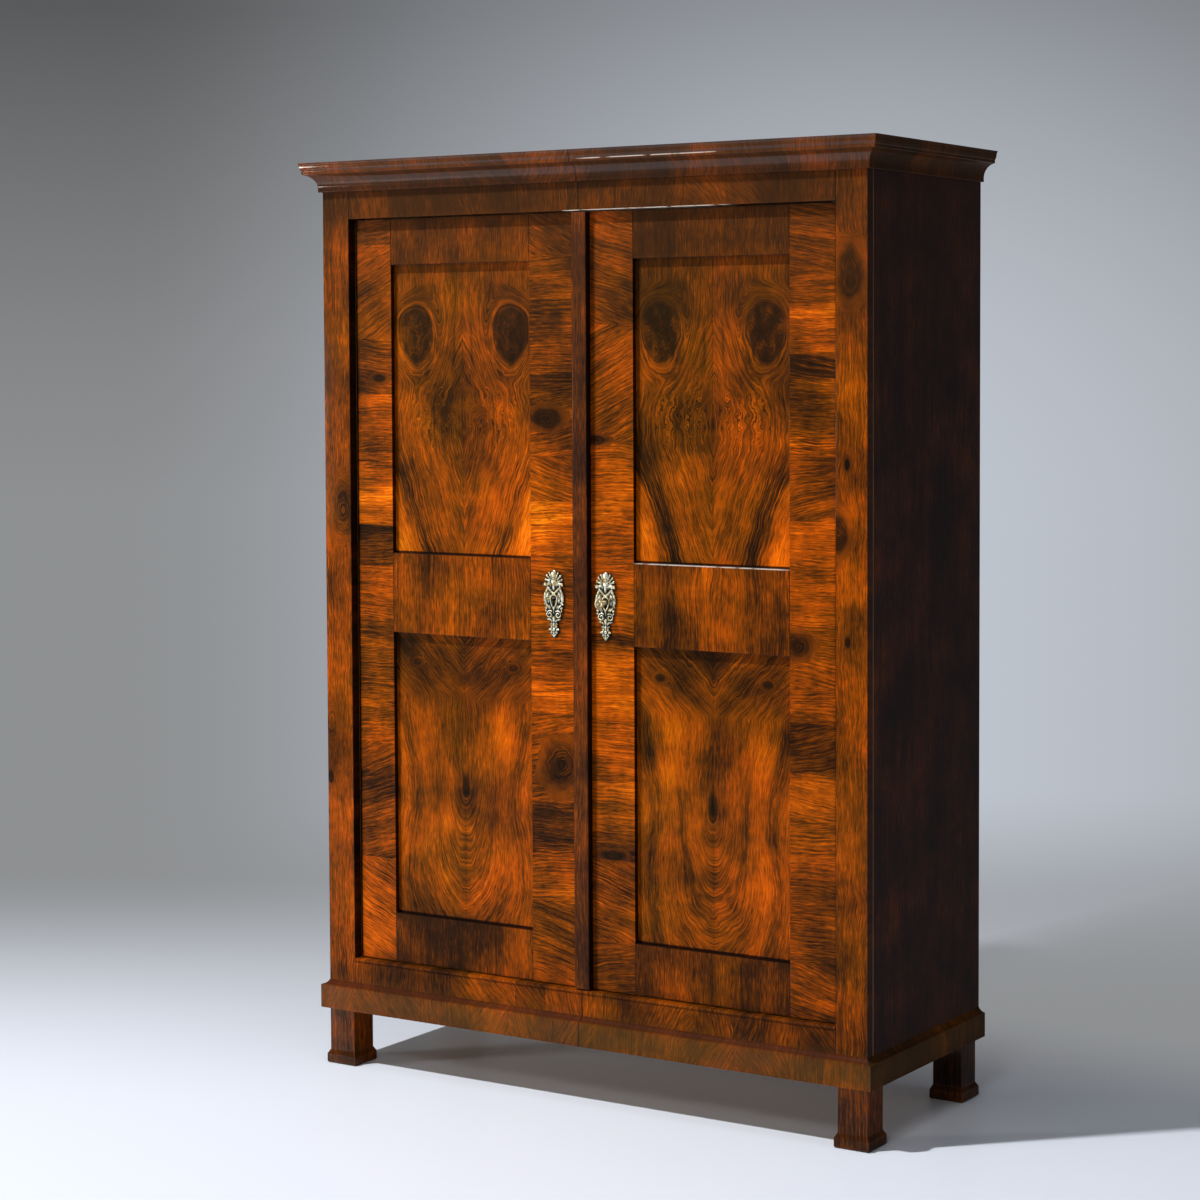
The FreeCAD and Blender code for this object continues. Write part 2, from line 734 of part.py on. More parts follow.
def build_leg(side, name, near):
    """A square leg on its block foot. Near is its front face; its top stands in the base's corner."""
    outer = OUTSIDE
    inner = OUTSIDE - S.leg_size
    far = near + S.leg_size
    spread = S.foot_projection
    block_top = S.foot_block_height
    flare_top = block_top + S.foot_flare_height
    foot_x = span(side, inner - spread, outer + spread)
    foot_y = (near - spread, far + spread)
    spigot_front = near + S.front_stile_thickness
    parts = [
        flare(foot_x, foot_y, (ZERO, S.foot_edge), S.foot_edge, upward=False),
        block(foot_x, foot_y, (S.foot_edge, block_top)),
        flare(foot_x, foot_y, (block_top, flare_top), spread),
        block(span(side, inner, outer), (near, far), (flare_top, S.leg_height)),
        block(
            span(side, INSIDE - S.leg_spigot_size, INSIDE),
            (spigot_front, spigot_front + S.leg_spigot_size),
            (S.leg_height - S.overrun, FLOOR_BOARD),
        ),
    ]
    node(name, fused(parts))


def build_legs():
    for side in (LEFT, RIGHT):
        build_leg(side, f"leg_front_{SIDE_NAMES[side]}", FRONT)
        build_leg(side, f"leg_back_{SIDE_NAMES[side]}", BACK - S.leg_back_inset - S.leg_size)


def build_joining():
    """Battens on both sides of the centre line, above and below, and the bolts through them."""
    near = RAIL_BACK + S.batten_end_gap
    far = BACK - S.leg_back_inset - S.batten_end_gap
    hole = S.joining_bolt_radius + S.joining_bolt_play
    fit = S.joining_bolt_radius + S.running_clearance
    thick = S.batten_thickness
    battens, bolts = [], []
    for low in (FLOOR_BOARD - S.batten_height, LID - S.batten_height):
        level = low + S.batten_height / 2
        places = (near + S.joining_bolt_inset, far - S.joining_bolt_inset)
        for side in (LEFT, RIGHT):
            batten = block(span(side, ZERO, thick), (near, far), (low, low + S.batten_height))
            start = (-thick if side == LEFT else ZERO) - S.overrun
            bores = [
                cylinder("x", start, depth, level, hole, thick + 2 * S.overrun) for depth in places
            ]
            battens.append(cut(batten, bores))
        for depth in places:
            head = six_sided(
                -thick - S.joining_head_height, depth, level, S.joining_head_radius,
                S.joining_head_height,
            )
            shank_length = (
                S.joining_head_height + 2 * thick + S.joining_nut_height + S.joining_thread_end
            )
            shank = cylinder(
                "x", -thick - S.joining_head_height, depth, level, S.joining_bolt_radius, shank_length
            )
            bolts.append(fused([head, shank]))
            nut = six_sided(thick, depth, level, S.joining_head_radius, S.joining_nut_height)
            bore = cylinder(
                "x", thick - S.overrun, depth, level, fit, S.joining_nut_height + 2 * S.overrun
            )
            bolts.append(cut(nut, [bore]))
    node("centre_battens", gathered(battens))
    node("joining_bolts", gathered(bolts))


def build_sockets():
    """Four bushes that hold the door pins: one in the frieze and one in the bottom rail at each side."""
    sockets = []
    hole = S.pivot_radius + S.running_clearance
    for side in (LEFT, RIGHT):
        across = side * PIVOT_PLACE
        lower = cylinder("z", across, PIVOT_DEPTH, SILL - S.socket_depth, S.socket_radius, S.socket_depth)
        lower_hole = cylinder(
            "z", across, PIVOT_DEPTH, SILL - S.pivot_in_socket - S.pivot_collar_play, hole,
            S.pivot_in_socket + S.pivot_collar_play + S.overrun,
        )
        upper = cylinder("z", across, PIVOT_DEPTH, HEAD, S.socket_radius, S.socket_depth)
        upper_hole = cylinder(
            "z", across, PIVOT_DEPTH, HEAD - S.overrun, hole,
            S.pivot_in_socket + S.pivot_collar_play + S.overrun,
        )
        sockets += [cut(lower, [lower_hole]), cut(upper, [upper_hole])]
    node("pivot_sockets", gathered(sockets))


def build_interior():
    """Hat shelf on its battens, and the hanging rail in its cups."""
    shelf_front = RAIL_BACK + S.shelf_front_gap
    shelf_back = BACK_BOARD_FRONT - S.shelf_play
    node(
        "hat_shelf",
        block(
            (S.shelf_play - INSIDE, INSIDE - S.shelf_play),
            (shelf_front, shelf_back),
            (SHELF, SHELF_TOP),
        ),
    )
    battens = [
        block(
            span(side, INSIDE - S.shelf_batten_thickness, INSIDE),
            (shelf_front, shelf_back),
            (SHELF - S.shelf_batten_height, SHELF),
        )
        for side in (LEFT, RIGHT)
    ]
    node("shelf_battens", gathered(battens))
    level = SHELF - S.hanging_rail_drop
    depth = (RAIL_BACK + BACK_BOARD_FRONT) / 2
    node(
        "hanging_rail",
        cylinder(
            "x", S.shelf_play - INSIDE, depth, level, S.hanging_rail_radius,
            2 * (INSIDE - S.shelf_play),
        ),
    )
    cups = []
    for side in (LEFT, RIGHT):
        start = INSIDE - S.cup_length if side == RIGHT else -INSIDE
        cup = cylinder("x", start, depth, level, S.cup_radius, S.cup_length)
        bore = cylinder(
            "x", start - S.overrun, depth, level, S.hanging_rail_radius + S.hanging_rail_play,
            S.cup_length + 2 * S.overrun,
        )
        cups.append(cut(cup, [bore]))
    node("rail_cups", gathered(cups))


# The two doors. Each has its widths, measured from the hinge side, and its leading edge.
DOORS = {
    LEFT: SimpleNamespace(
        hinge_stile=S.left_hinge_stile_width,
        lock_stile=S.left_lock_stile_width,
        leading_edge=S.meeting_edge + S.meeting_gap,
    ),
    RIGHT: SimpleNamespace(
        hinge_stile=S.right_hinge_stile_width,
        lock_stile=S.right_lock_stile_width,
        leading_edge=-S.meeting_edge,
    ),
}
PANEL_OPENINGS = (
    ("lower_panel", LOWER_PANEL_BOTTOM, LOWER_PANEL_TOP),
    ("upper_panel", UPPER_PANEL_BOTTOM, UPPER_PANEL_TOP),
)
DOOR_RAILS = (
    ("bottom_rail", DOOR_BOTTOM, LOWER_PANEL_BOTTOM),
    ("middle_rail", LOWER_PANEL_TOP, UPPER_PANEL_BOTTOM),
    ("top_rail", UPPER_PANEL_TOP, DOOR_TOP),
)


def door_groove(side, near, far, low, high, depth):
    """What a panel, or the groove for it, takes up beyond its opening on all four edges."""
    return block(
        span(side, near - depth, far + depth), (PANEL_FRONT, PANEL_BACK), (low - depth, high + depth)
    )


def door_tenons(side, near, far, low, high, play):
    """Both tenons of a door rail, or the mortises for them when play is given."""
    reach = S.door_tenon_length + play
    return block(
        span(side, near - reach, far + reach),
        (PANEL_FRONT, PANEL_BACK),
        (low + S.door_tenon_shoulder, high - S.door_tenon_shoulder),
    )


def keyhole(across, low, high):
    """The round hole and the slot under it, between two planes of depth."""
    length = high - low
    return [
        cylinder("y", across, low, KEY_LEVEL, S.keyhole_radius, length),
        block(
            (across - S.keyhole_slot_width / 2, across + S.keyhole_slot_width / 2),
            (low, high),
            (KEY_LEVEL - S.keyhole_slot_drop, KEY_LEVEL),
        ),
    ]


def hinge_stile(side, near):
    """The stile on the pivots. Its outer edge is a half round about the pivot's axis."""
    inner = side * near
    outer = side * DOOR_EDGE
    outline = [
        (inner, DOOR_FRONT),
        (side * PIVOT_PLACE, DOOR_FRONT, side * NOSE_RADIUS),
        (outer, PIVOT_DEPTH, side * NOSE_RADIUS),
        (side * PIVOT_PLACE, DOOR_BACK),
        (inner, DOOR_BACK),
    ]
    body = padded("XY_Plane", [outline], DOOR_TOP - DOOR_BOTTOM, "HingeStile")
    return place(body, ZERO, ZERO, DOOR_BOTTOM)


def build_door(side):
    """Frame, panels and pivots of one door."""
    name = f"{SIDE_NAMES[side]}_door"
    door = DOORS[side]
    far = DOOR_EDGE - door.hinge_stile
    near = door.leading_edge + door.lock_stile
    grooves = [
        (low, high) for piece, low, high in PANEL_OPENINGS
    ]
    for piece, low, high in DOOR_RAILS:
        rail = fused(
            [
                block(span(side, near, far), (DOOR_FRONT, DOOR_BACK), (low, high)),
                door_tenons(side, near, far, low, high, 0),
            ]
        )
        touching = [limits for limits in grooves if low.value in (limits[0].value, limits[1].value)]
        touching += [limits for limits in grooves if high.value in (limits[0].value, limits[1].value)]
        tools = [door_groove(side, near, far, *limits, S.groove_depth) for limits in touching]
        node(f"{name}_{piece}", cut(rail, tools))
    for piece, low, high in PANEL_OPENINGS:
        node(
            f"{name}_{piece}",
            door_groove(side, near, far, low, high, S.groove_depth - S.panel_play),
        )

    def joint_tools():
        """Fresh cutting tools for one stile: stopped grooves and mortises."""
        tools = [door_groove(side, near, far, *limits, S.groove_depth) for limits in grooves]
        tools += [
            door_tenons(side, near, far, low, high, S.tenon_play) for piece, low, high in DOOR_RAILS
        ]
        return tools

    pin_hole = S.pivot_radius + S.running_clearance
    pin_bores = [
        cylinder(
            "z", side * PIVOT_PLACE, PIVOT_DEPTH, start, pin_hole, S.pivot_in_door + S.overrun
        )
        for start in (DOOR_BOTTOM - S.overrun, DOOR_TOP - S.pivot_in_door)
    ]
    node(f"{name}_hinge_stile", cut(hinge_stile(side, far), joint_tools() + pin_bores))

    lock_stile = block(
        span(side, door.leading_edge, near), (DOOR_FRONT, DOOR_BACK), (DOOR_BOTTOM, DOOR_TOP)
    )
    if side == LEFT:
        hole = keyhole(
            -S.left_plate_place, DOOR_FRONT - S.overrun, DOOR_FRONT + S.blind_keyhole_depth
        )
    else:
        hole = keyhole(S.right_plate_place, DOOR_FRONT - S.overrun, DOOR_BACK + S.overrun)
    node(f"{name}_lock_stile", cut(lock_stile, joint_tools() + hole))
    build_pivots(side, name)


def build_pivots(side, name):
    """The two pins of a door, each with the collar that keeps the door off its rail."""
    across = side * PIVOT_PLACE
    lower_start = SILL - S.pivot_in_socket
    upper_start = DOOR_TOP - S.pivot_in_door
    lower = fused(
        [
            cylinder(
                "z", across, PIVOT_DEPTH, lower_start, S.pivot_radius,
                DOOR_BOTTOM + S.pivot_in_door - lower_start,
            ),
            cylinder(
                "z", across, PIVOT_DEPTH, SILL + S.pivot_collar_play, S.pivot_collar_radius,
                S.door_sill_gap - S.pivot_collar_play,
            ),
        ]
    )
    upper = fused(
        [
            cylinder(
                "z", across, PIVOT_DEPTH, upper_start, S.pivot_radius,
                HEAD + S.pivot_in_socket - upper_start,
            ),
            cylinder(
                "z", across, PIVOT_DEPTH, DOOR_TOP, S.pivot_collar_radius,
                S.door_head_gap - S.pivot_collar_play,
            ),
        ]
    )
    node(f"{name}_pivots", gathered([lower, upper]))


def build_strip():
    """The closing strip on the leading edge of the right door, with rounded front edges."""
    left = -S.meeting_edge
    right = left + S.strip_width
    front = DOOR_FRONT - S.strip_projection
    soft = S.strip_round
    outline = [
        (left, DOOR_FRONT),
        (left, front + soft, soft),
        (left + soft, front),
        (right - soft, front, soft),
        (right, front + soft),
        (right, DOOR_FRONT),
    ]
    body = padded("XY_Plane", [outline], DOOR_TOP - DOOR_BOTTOM, "ClosingStrip")
    place(body, ZERO, ZERO, DOOR_BOTTOM)
    node("closing_strip", body)


def lens(width, height, middle):
    """Two arcs that meet in a point above and below, as (across, up) about a middle height."""
    radius = (width * width / 4 + height * height / 4) / width
    return [
        (ZERO, middle + height / 2, -radius),
        (ZERO, middle - height / 2, -radius),
    ]


def build_escutcheon(name, across):
    """A cast plate with a lobed edge, a raised rim round its keyhole, and the keyhole itself."""
    half_width = S.plate_width / 2
    half_height = S.plate_height / 2
    right_edge = [
        (half_width * wide, half_height * high, S.plate_width * lobe)
        for wide, high, lobe in PLATE_EDGE_SHARES
    ]
    edge = []
    for across_right, up, lobe in right_edge[:-1]:
        edge.append((across_right, up, -lobe))
    for index in range(len(right_edge) - 1, 0, -1):
        lobe = right_edge[index - 1][2]
        edge.append((-right_edge[index][0], right_edge[index][1], -lobe))
    plate = padded("XZ_Plane", [edge], S.plate_thickness, "Plate")
    place(plate, across, DOOR_FRONT, PLATE_LEVEL)

    rim_middle = S.keyhole_rise - S.keyhole_slot_drop / 2 + S.keyhole_radius / 2
    rim_outlines = [
        lens(S.rim_width, S.rim_height, rim_middle),
        lens(S.rim_width - 2 * S.rim_wall, S.rim_height - 2 * S.rim_wall, rim_middle),
    ]
    rim = padded("XZ_Plane", rim_outlines, S.rim_thickness + S.plate_thickness, "Rim")
    place(rim, across, DOOR_FRONT, PLATE_LEVEL)
    front = DOOR_FRONT - S.plate_thickness - S.rim_thickness - S.overrun
    node(name, cut(fused([plate, rim]), keyhole(across, front, DOOR_FRONT + S.overrun)))


def oval(length, height, middle):
    """Two half circles joined by straight lines, as (along, up) about a middle place."""
    radius = height / 2
    straight = (length - height) / 2
    quarter = radius / root(Size("2", 2))
    return [
        (middle - straight, radius, radius),
        (middle - straight - quarter, quarter, radius),
        (middle - straight - radius, ZERO, radius),
        (middle - straight - quarter, -quarter, radius),
        (middle - straight, -radius),
        (middle + straight, -radius, radius),
        (middle + straight + quarter, -quarter, radius),
        (middle + straight + radius, ZERO, radius),
        (middle + straight + quarter, quarter, radius),
        (middle + straight, radius),
    ]


def build_key():
    """The key: an upright oval bow, a collar, a round shank and a bit that hangs down."""
    across = S.right_plate_place
    neck = DOOR_FRONT - S.key_reach
    bit_end = DOOR_BACK + S.lock_depth - S.lock_wall - S.lock_end_play
    shank_start = neck - S.key_bow_wire / 2
    bow = padded(
        "YZ_Plane",
        [
            oval(S.key_bow_length, S.key_bow_height, ZERO),
            oval(
                S.key_bow_length - 2 * S.key_bow_wire,
                S.key_bow_height - 2 * S.key_bow_wire,
                ZERO,
            ),
        ],
        S.key_bow_thickness,
        "Bow",
    )
    place(bow, across - S.key_bow_thickness / 2, neck - S.key_bow_length / 2, KEY_LEVEL)
    parts = [
        bow,
        cylinder("y", across, neck, KEY_LEVEL, S.key_collar_radius, S.key_collar_length),
        cylinder("y", across, shank_start, KEY_LEVEL, S.key_radius, bit_end - shank_start),
        block(
            (across - S.key_bit_thickness / 2, across + S.key_bit_thickness / 2),
            (bit_end - S.key_bit_length, bit_end),
            (KEY_LEVEL - S.key_bit_radius, KEY_LEVEL),
        ),
    ]
    node("key", fused(parts))


def build_lock():
    """Lock case on the back of the right door, the bolt that slides in it, and the keep opposite."""
    edge = -S.meeting_edge
    bolt_low = KEY_LEVEL + S.lock_bolt_rise
    bolt_high = bolt_low + S.lock_bolt_height
    bolt_front = DOOR_BACK + (S.lock_depth - S.lock_bolt_thickness) / 2
    bolt_back = bolt_front + S.lock_bolt_thickness
    case_back = DOOR_BACK + S.lock_depth

    case = block(
        (edge, edge + S.lock_length), (DOOR_BACK, case_back),
        (KEY_LEVEL - S.lock_drop, KEY_LEVEL + S.lock_rise),
    )
    hollow = block(
        (edge + S.lock_wall, edge + S.lock_length - S.lock_wall),
        (DOOR_BACK + S.lock_wall, case_back - S.lock_wall),
        (KEY_LEVEL - S.lock_drop + S.lock_wall, KEY_LEVEL + S.lock_rise - S.lock_wall),
    )
    play = S.lock_bolt_play
    slot = block(
        (edge - S.overrun, edge + S.lock_wall + S.overrun),
        (bolt_front - play, bolt_back + play),
        (bolt_low - play, bolt_high + play),
    )
    opening = keyhole(S.right_plate_place, DOOR_BACK - S.overrun, DOOR_BACK + S.lock_wall + S.overrun)
    node("lock_case", cut(case, [hollow, slot] + opening))

    bolt_start = edge + S.lock_end_play
    bolt = block(
        (bolt_start, bolt_start + S.lock_bolt_length),
        (bolt_front, bolt_back),
        (bolt_low, bolt_high),
    )
    # Half of the bolt's travel is done when the bit points straight up.
    talon_middle = S.right_plate_place + S.lock_bolt_throw / 2
    talon = block(
        (talon_middle - S.talon_width / 2, talon_middle + S.talon_width / 2),
        (bolt_front - S.overrun, bolt_back + S.overrun),
        (bolt_low - S.overrun, bolt_low + S.talon_depth),
    )
    node("lock_bolt", cut(bolt, [talon]))

    keep_edge = -(S.meeting_edge + S.meeting_gap)
    keep = block(
        (keep_edge - S.keep_length, keep_edge),
        (DOOR_BACK, case_back),
        (bolt_low - S.keep_margin, bolt_high + S.keep_margin),
    )
    pocket_depth = S.lock_bolt_throw - S.meeting_gap + S.keep_play
    keep_pocket = block(
        (keep_edge - pocket_depth, keep_edge + S.overrun),
        (bolt_front - S.keep_play, bolt_back + S.keep_play),
        (bolt_low - S.keep_play, bolt_high + S.keep_play),
    )
    node("lock_keep", cut(keep, [keep_pocket]))


def build_slide_bolt(name, tip, way):
    """A slide bolt on the back of the left door and its guide. Way is +1 where it shoots upwards."""

    def levels(near, far):
        """Two distances back from the bolt's tip, as levels in rising order."""
        return (tip - far, tip - near) if way > 0 else (tip + near, tip + far)

    half = S.slide_width / 2
    plate_front = DOOR_BACK
    bar_front = plate_front + S.guide_thickness + S.slide_play
    bar_back = bar_front + S.slide_thickness
    middle = -S.slide_place
    guide_end = S.guide_end_gap + S.guide_length
    knob_level = (levels(S.guide_end_gap, guide_end)[0] + levels(S.guide_end_gap, guide_end)[1]) / 2
    knob_level = knob_level - way * S.slide_throw / 2
    bar = block((middle - half, middle + half), (bar_front, bar_back), levels(ZERO, S.slide_length))
    knob = cylinder(
        "y", middle, bar_back - S.overrun, knob_level, S.slide_knob_radius,
        S.slide_knob_length + S.overrun,
    )
    node(name, fused([bar, knob]))

    plate = block(
        (middle - S.guide_width / 2, middle + S.guide_width / 2),
        (plate_front, plate_front + S.guide_thickness),
        levels(S.guide_end_gap, guide_end),
    )
    parts = [plate]
    tools = []
    for start in (S.guide_end_gap, guide_end - S.staple_length):
        reach = half + S.slide_play
        parts.append(
            block(
                (middle - reach - S.staple_wall, middle + reach + S.staple_wall),
                (plate_front, bar_back + S.slide_play + S.staple_wall),
                levels(start, start + S.staple_length),
            )
        )
        tools.append(
            block(
                (middle - reach, middle + reach),
                (bar_front - S.slide_play, bar_back + S.slide_play),
                levels(start - S.overrun, start + S.staple_length + S.overrun),
            )
        )
    node(f"{name}_guide", cut(fused(parts), tools))


def build_slide_bolts():
    build_slide_bolt("upper_bolt", DOOR_TOP - S.stop_overlap - S.slide_rest_gap, 1)
    build_slide_bolt("lower_bolt", FLOOR_BOARD_TOP + S.slide_rest_gap, -1)


def build_cupboard():
    for side in (LEFT, RIGHT):
        build_front(side)
        build_boards(side)
    build_back()
    build_cornice()
    build_plinth()
    build_legs()
    build_joining()
    build_sockets()
    build_interior()
    for side in (LEFT, RIGHT):
        build_door(side)
    build_strip()
    build_escutcheon("left_escutcheon", -S.left_plate_place)
    build_escutcheon("right_escutcheon", S.right_plate_place)
    build_lock()
    build_key()
    build_slide_bolts()


def check_document():
    """Stops on any failed object, or any piece that is missing or not a sound solid."""
    for item in document.Objects:
        bad = {"Invalid", "Error"} & set(item.State)
        assert not bad, f"{item.Label} is {bad}"
    labels = [item.Label for item in nodes]
    assert len(set(labels)) == len(labels), "two pieces share a name"
    for item in nodes:
        shape = item.Shape
        assert not shape.isNull() and shape.isValid(), f"{item.Label} has no sound shape"
        assert shape.Solids and shape.Volume > 0, f"{item.Label} is empty"


def write_pieces():
    os.makedirs("parts", exist_ok=True)
    for item in nodes:
        item.Shape.exportStep(f"parts/{item.Label}.step")
    print(len(nodes), "pieces")


build_cupboard()
document.recompute()
check_document()
write_pieces()
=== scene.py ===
"""Two-door walnut cupboard on block feet: its looks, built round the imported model."""

import json
import logging
import math
import random
from dataclasses import dataclass
from enum import Enum
from functools import cached_property
from typing import Iterable, Sequence, Union

import bmesh
import bpy
from mathutils import Matrix, Vector


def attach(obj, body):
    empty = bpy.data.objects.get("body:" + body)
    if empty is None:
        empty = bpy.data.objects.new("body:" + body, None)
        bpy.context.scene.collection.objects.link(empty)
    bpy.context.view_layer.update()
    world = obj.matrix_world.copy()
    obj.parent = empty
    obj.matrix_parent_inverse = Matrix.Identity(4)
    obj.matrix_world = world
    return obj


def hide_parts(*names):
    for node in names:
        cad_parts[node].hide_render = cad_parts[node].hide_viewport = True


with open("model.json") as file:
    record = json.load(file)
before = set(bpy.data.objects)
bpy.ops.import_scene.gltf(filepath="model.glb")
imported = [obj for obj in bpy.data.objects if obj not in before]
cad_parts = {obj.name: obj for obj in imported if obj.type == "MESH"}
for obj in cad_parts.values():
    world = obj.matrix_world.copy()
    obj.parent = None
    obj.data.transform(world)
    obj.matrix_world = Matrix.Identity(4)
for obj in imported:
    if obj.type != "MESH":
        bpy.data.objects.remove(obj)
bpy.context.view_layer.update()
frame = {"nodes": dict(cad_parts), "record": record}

LOG = logging.getLogger("cupboard")
MM = 0.001
# Dark of the joints, and painted shade along the panels' lower and right edges and on the faces
# behind a front.
DIRT = "0d0705"  # in joints, corners and on the edges behind a face

BODY_OF = {
    node: body
    for body, nodes in frame["record"]["behaviour"]["bodies"].items()
    for node in nodes
}

Colour = tuple[float, float, float, float]
Tint = Union[Colour, str]  # a colour or its code
Value = Union["Field", float]
Place = Union["Field", tuple["Value", "Value", "Value"]]  # a point or its three parts


def hue(code: str) -> Colour:
    """Linear colour of a six-digit screen colour.

    Args:
        code: Red, green and blue as two hexadecimal digits each.

    Returns:
        The linear colour, with an alpha of 1.
    """
    parts = [int(code[place : place + 2], 16) / 255 for place in (0, 2, 4)]
    return (
        *(part / 12.92 if part <= 0.04045 else ((part + 0.055) / 1.055) ** 2.4 for part in parts),
        1.0,
    )


@dataclass(frozen=True)
class Field:
    """A number, colour or vector that varies over a surface: one output of a shader node."""

    sheet: "NodeSheet"
    socket: bpy.types.NodeSocket

    def __add__(self, other: Value) -> "Field":
        """This field plus another."""
        return self.sheet.math("ADD", self, other)

    def __radd__(self, other: float) -> "Field":
        """A number plus this field."""
        return self.sheet.math("ADD", other, self)

    def __sub__(self, other: Value) -> "Field":
        """This field less another."""
        return self.sheet.math("SUBTRACT", self, other)

    def __rsub__(self, other: float) -> "Field":
        """A number less this field."""
        return self.sheet.math("SUBTRACT", other, self)

    def __mul__(self, other: Value) -> "Field":
        """This field times another."""
        return self.sheet.math("MULTIPLY", self, other)

    def __truediv__(self, other: Value) -> "Field":
        """This field over another."""
        return self.sheet.math("DIVIDE", self, other)

    def __abs__(self) -> "Field":
        """The size of this field without its sign."""
        return self.sheet.math("ABSOLUTE", self)

    def rise(self, low: float, high: float) -> "Field":
        """A smooth step.

        Args:
            low: Where the step is 0.
            high: Where the step is 1, above or below low.

        Returns:
            The step as a field from 0 to 1.
        """
        node = self.sheet.add("ShaderNodeMapRange", {"Value": self})
        node.interpolation_type = "SMOOTHSTEP"
        limits = (low, high, 0.0, 1.0) if low < high else (high, low, 1.0, 0.0)
        for name, limit in zip(("From Min", "From Max", "To Min", "To Max"), limits):
            node.inputs[name].default_value = limit
        return Field(self.sheet, node.outputs["Result"])

    def hill(self, middle: float, half_width: float) -> "Field":
        """1 at the middle value and 0 from half_width away, smooth on both sides."""
        return abs(self - middle).rise(half_width, 0.0)

    def root(self) -> "Field":
        """The square root of this field."""
        return self.sheet.math("SQRT", self)

    def at_least(self, least: Value) -> "Field":
        """This field, or the other value where that is more."""
        return self.sheet.math("MAXIMUM", self, least)


class NodeSheet:
    """A material's node tree, and short calls that add nodes to it."""

    def __init__(self, name: str, tree: Union[bpy.types.NodeTree, None] = None) -> None:
        """Starts a material with one principled shader, or an empty sky.

        Args:
            name: The material's name.
            tree: The sky's node tree; nothing for a material.
        """
        if tree:
            self.tree = tree
            self.tree.nodes.clear()
            place = self.tree.nodes.new("ShaderNodeTexCoord")
            self.point = Field(self, place.outputs["Generated"])
            return
        self.material = bpy.data.materials.new(name)
        self.material.use_nodes = True
        self.tree = self.material.node_tree
        self.tree.nodes.clear()
        self.shader = self.tree.nodes.new("ShaderNodeBsdfPrincipled")
        output = self.tree.nodes.new("ShaderNodeOutputMaterial")
        self.tree.links.new(self.shader.outputs["BSDF"], output.inputs["Surface"])
        self.point = Field(self, self.tree.nodes.new("ShaderNodeTexCoord").outputs["Object"])

    def add(self, kind: str, inputs: dict[Union[str, int], object]) -> bpy.types.Node:
        """Adds a node and feeds its inputs.

        Args:
            kind: The node's type.
            inputs: Fields, plain values or colour codes by input name or number.

        Returns:
            The new node.
        """
        node = self.tree.nodes.new(kind)
        for key, value in inputs.items():
            self.feed(node.inputs[key], value)
        return node

    def feed(self, socket: bpy.types.NodeSocket, value: object) -> None:
        """Links a field to a socket, or sets the socket to a plain value or colour code."""
        if isinstance(value, Field):
            self.tree.links.new(value.socket, socket)
        else:
            socket.default_value = hue(value) if isinstance(value, str) else value

    def set(self, **inputs: object) -> None:
        """Feeds the shader's sockets; an underscore stands for a space in a name."""
        for name, value in inputs.items():
            self.feed(self.shader.inputs[name.replace("_", " ")], value)

    def math(self, operation: str, *values: Value) -> Field:
        """One arithmetic step on fields and numbers."""
        node = self.add("ShaderNodeMath", dict(enumerate(values)))
        node.operation = operation
        return Field(self, node.outputs[0])

    def vector(self, x: Value, y: Value, z: Value) -> Field:
        """A vector put together from three fields or numbers."""
        return Field(self, self.add("ShaderNodeCombineXYZ", {0: x, 1: y, 2: z}).outputs[0])

    def parts(self, vector: Field) -> tuple[Field, Field, Field]:
        """The three parts of a vector or colour."""
        node = self.add("ShaderNodeSeparateXYZ", {0: vector})
        return tuple(Field(self, output) for output in node.outputs)

    @cached_property
    def place(self) -> tuple[Field, Field, Field]:
        """The three parts of the point that is coloured."""
        return self.parts(self.point)

    def noise(self, point: Place, scale: float = 1, detail: float = 2, rough: float = 0.5) -> Field:
        """Soft noise.

        Args:
            point: Where the noise is read: a vector, or its three parts.
            scale: Cells per unit.
            detail: Number of finer layers.
            rough: Strength of each finer layer.

        Returns:
            The noise, mostly from 0.3 to 0.7.
        """
        if isinstance(point, tuple):
            point = self.vector(*point)
        node = self.add(
            "ShaderNodeTexNoise",
            {"Vector": point, "Scale": scale, "Detail": detail, "Roughness": rough},
        )
        return Field(self, node.outputs["Fac"])

    def ramp(
        self, factor: Field, stops: Sequence[tuple[float, Tint]], stepped: bool = False
    ) -> Field:
        """A colour that follows a field.

        Args:
            factor: The field, from 0 to 1.
            stops: Places from 0 to 1 with their colours or colour codes.
            stepped: True for a colour that jumps at each stop.

        Returns:
            The colour.
        """
        node = self.add("ShaderNodeValToRGB", {0: factor})
        colours = node.color_ramp
        colours.interpolation = "CONSTANT" if stepped else "LINEAR"
        while len(colours.elements) < len(stops):
            colours.elements.new(1.0)
        for element, (place, colour) in zip(colours.elements, stops):
            element.position = place
            element.color = hue(colour) if isinstance(colour, str) else colour
        return Field(self, node.outputs["Color"])

    def mix(self, factor: Value, first: object, second: object, kind: str = "MIX") -> Field:
        """Two colours mixed; the factor is the second one's share."""
        node = self.tree.nodes.new("ShaderNodeMix")
        node.data_type = "RGBA"
        node.blend_type = kind
        for number, value in ((0, factor), (6, first), (7, second)):
            self.feed(node.inputs[number], value)
        return Field(self, node.outputs[2])

    def bump(self, height: Field, distance: float) -> None:
        """Gives the shader a relief of the given depth in metres."""
        node = self.add("ShaderNodeBump", {"Height": height, "Distance": distance})
        self.feed(self.shader.inputs["Normal"], Field(self, node.outputs["Normal"]))


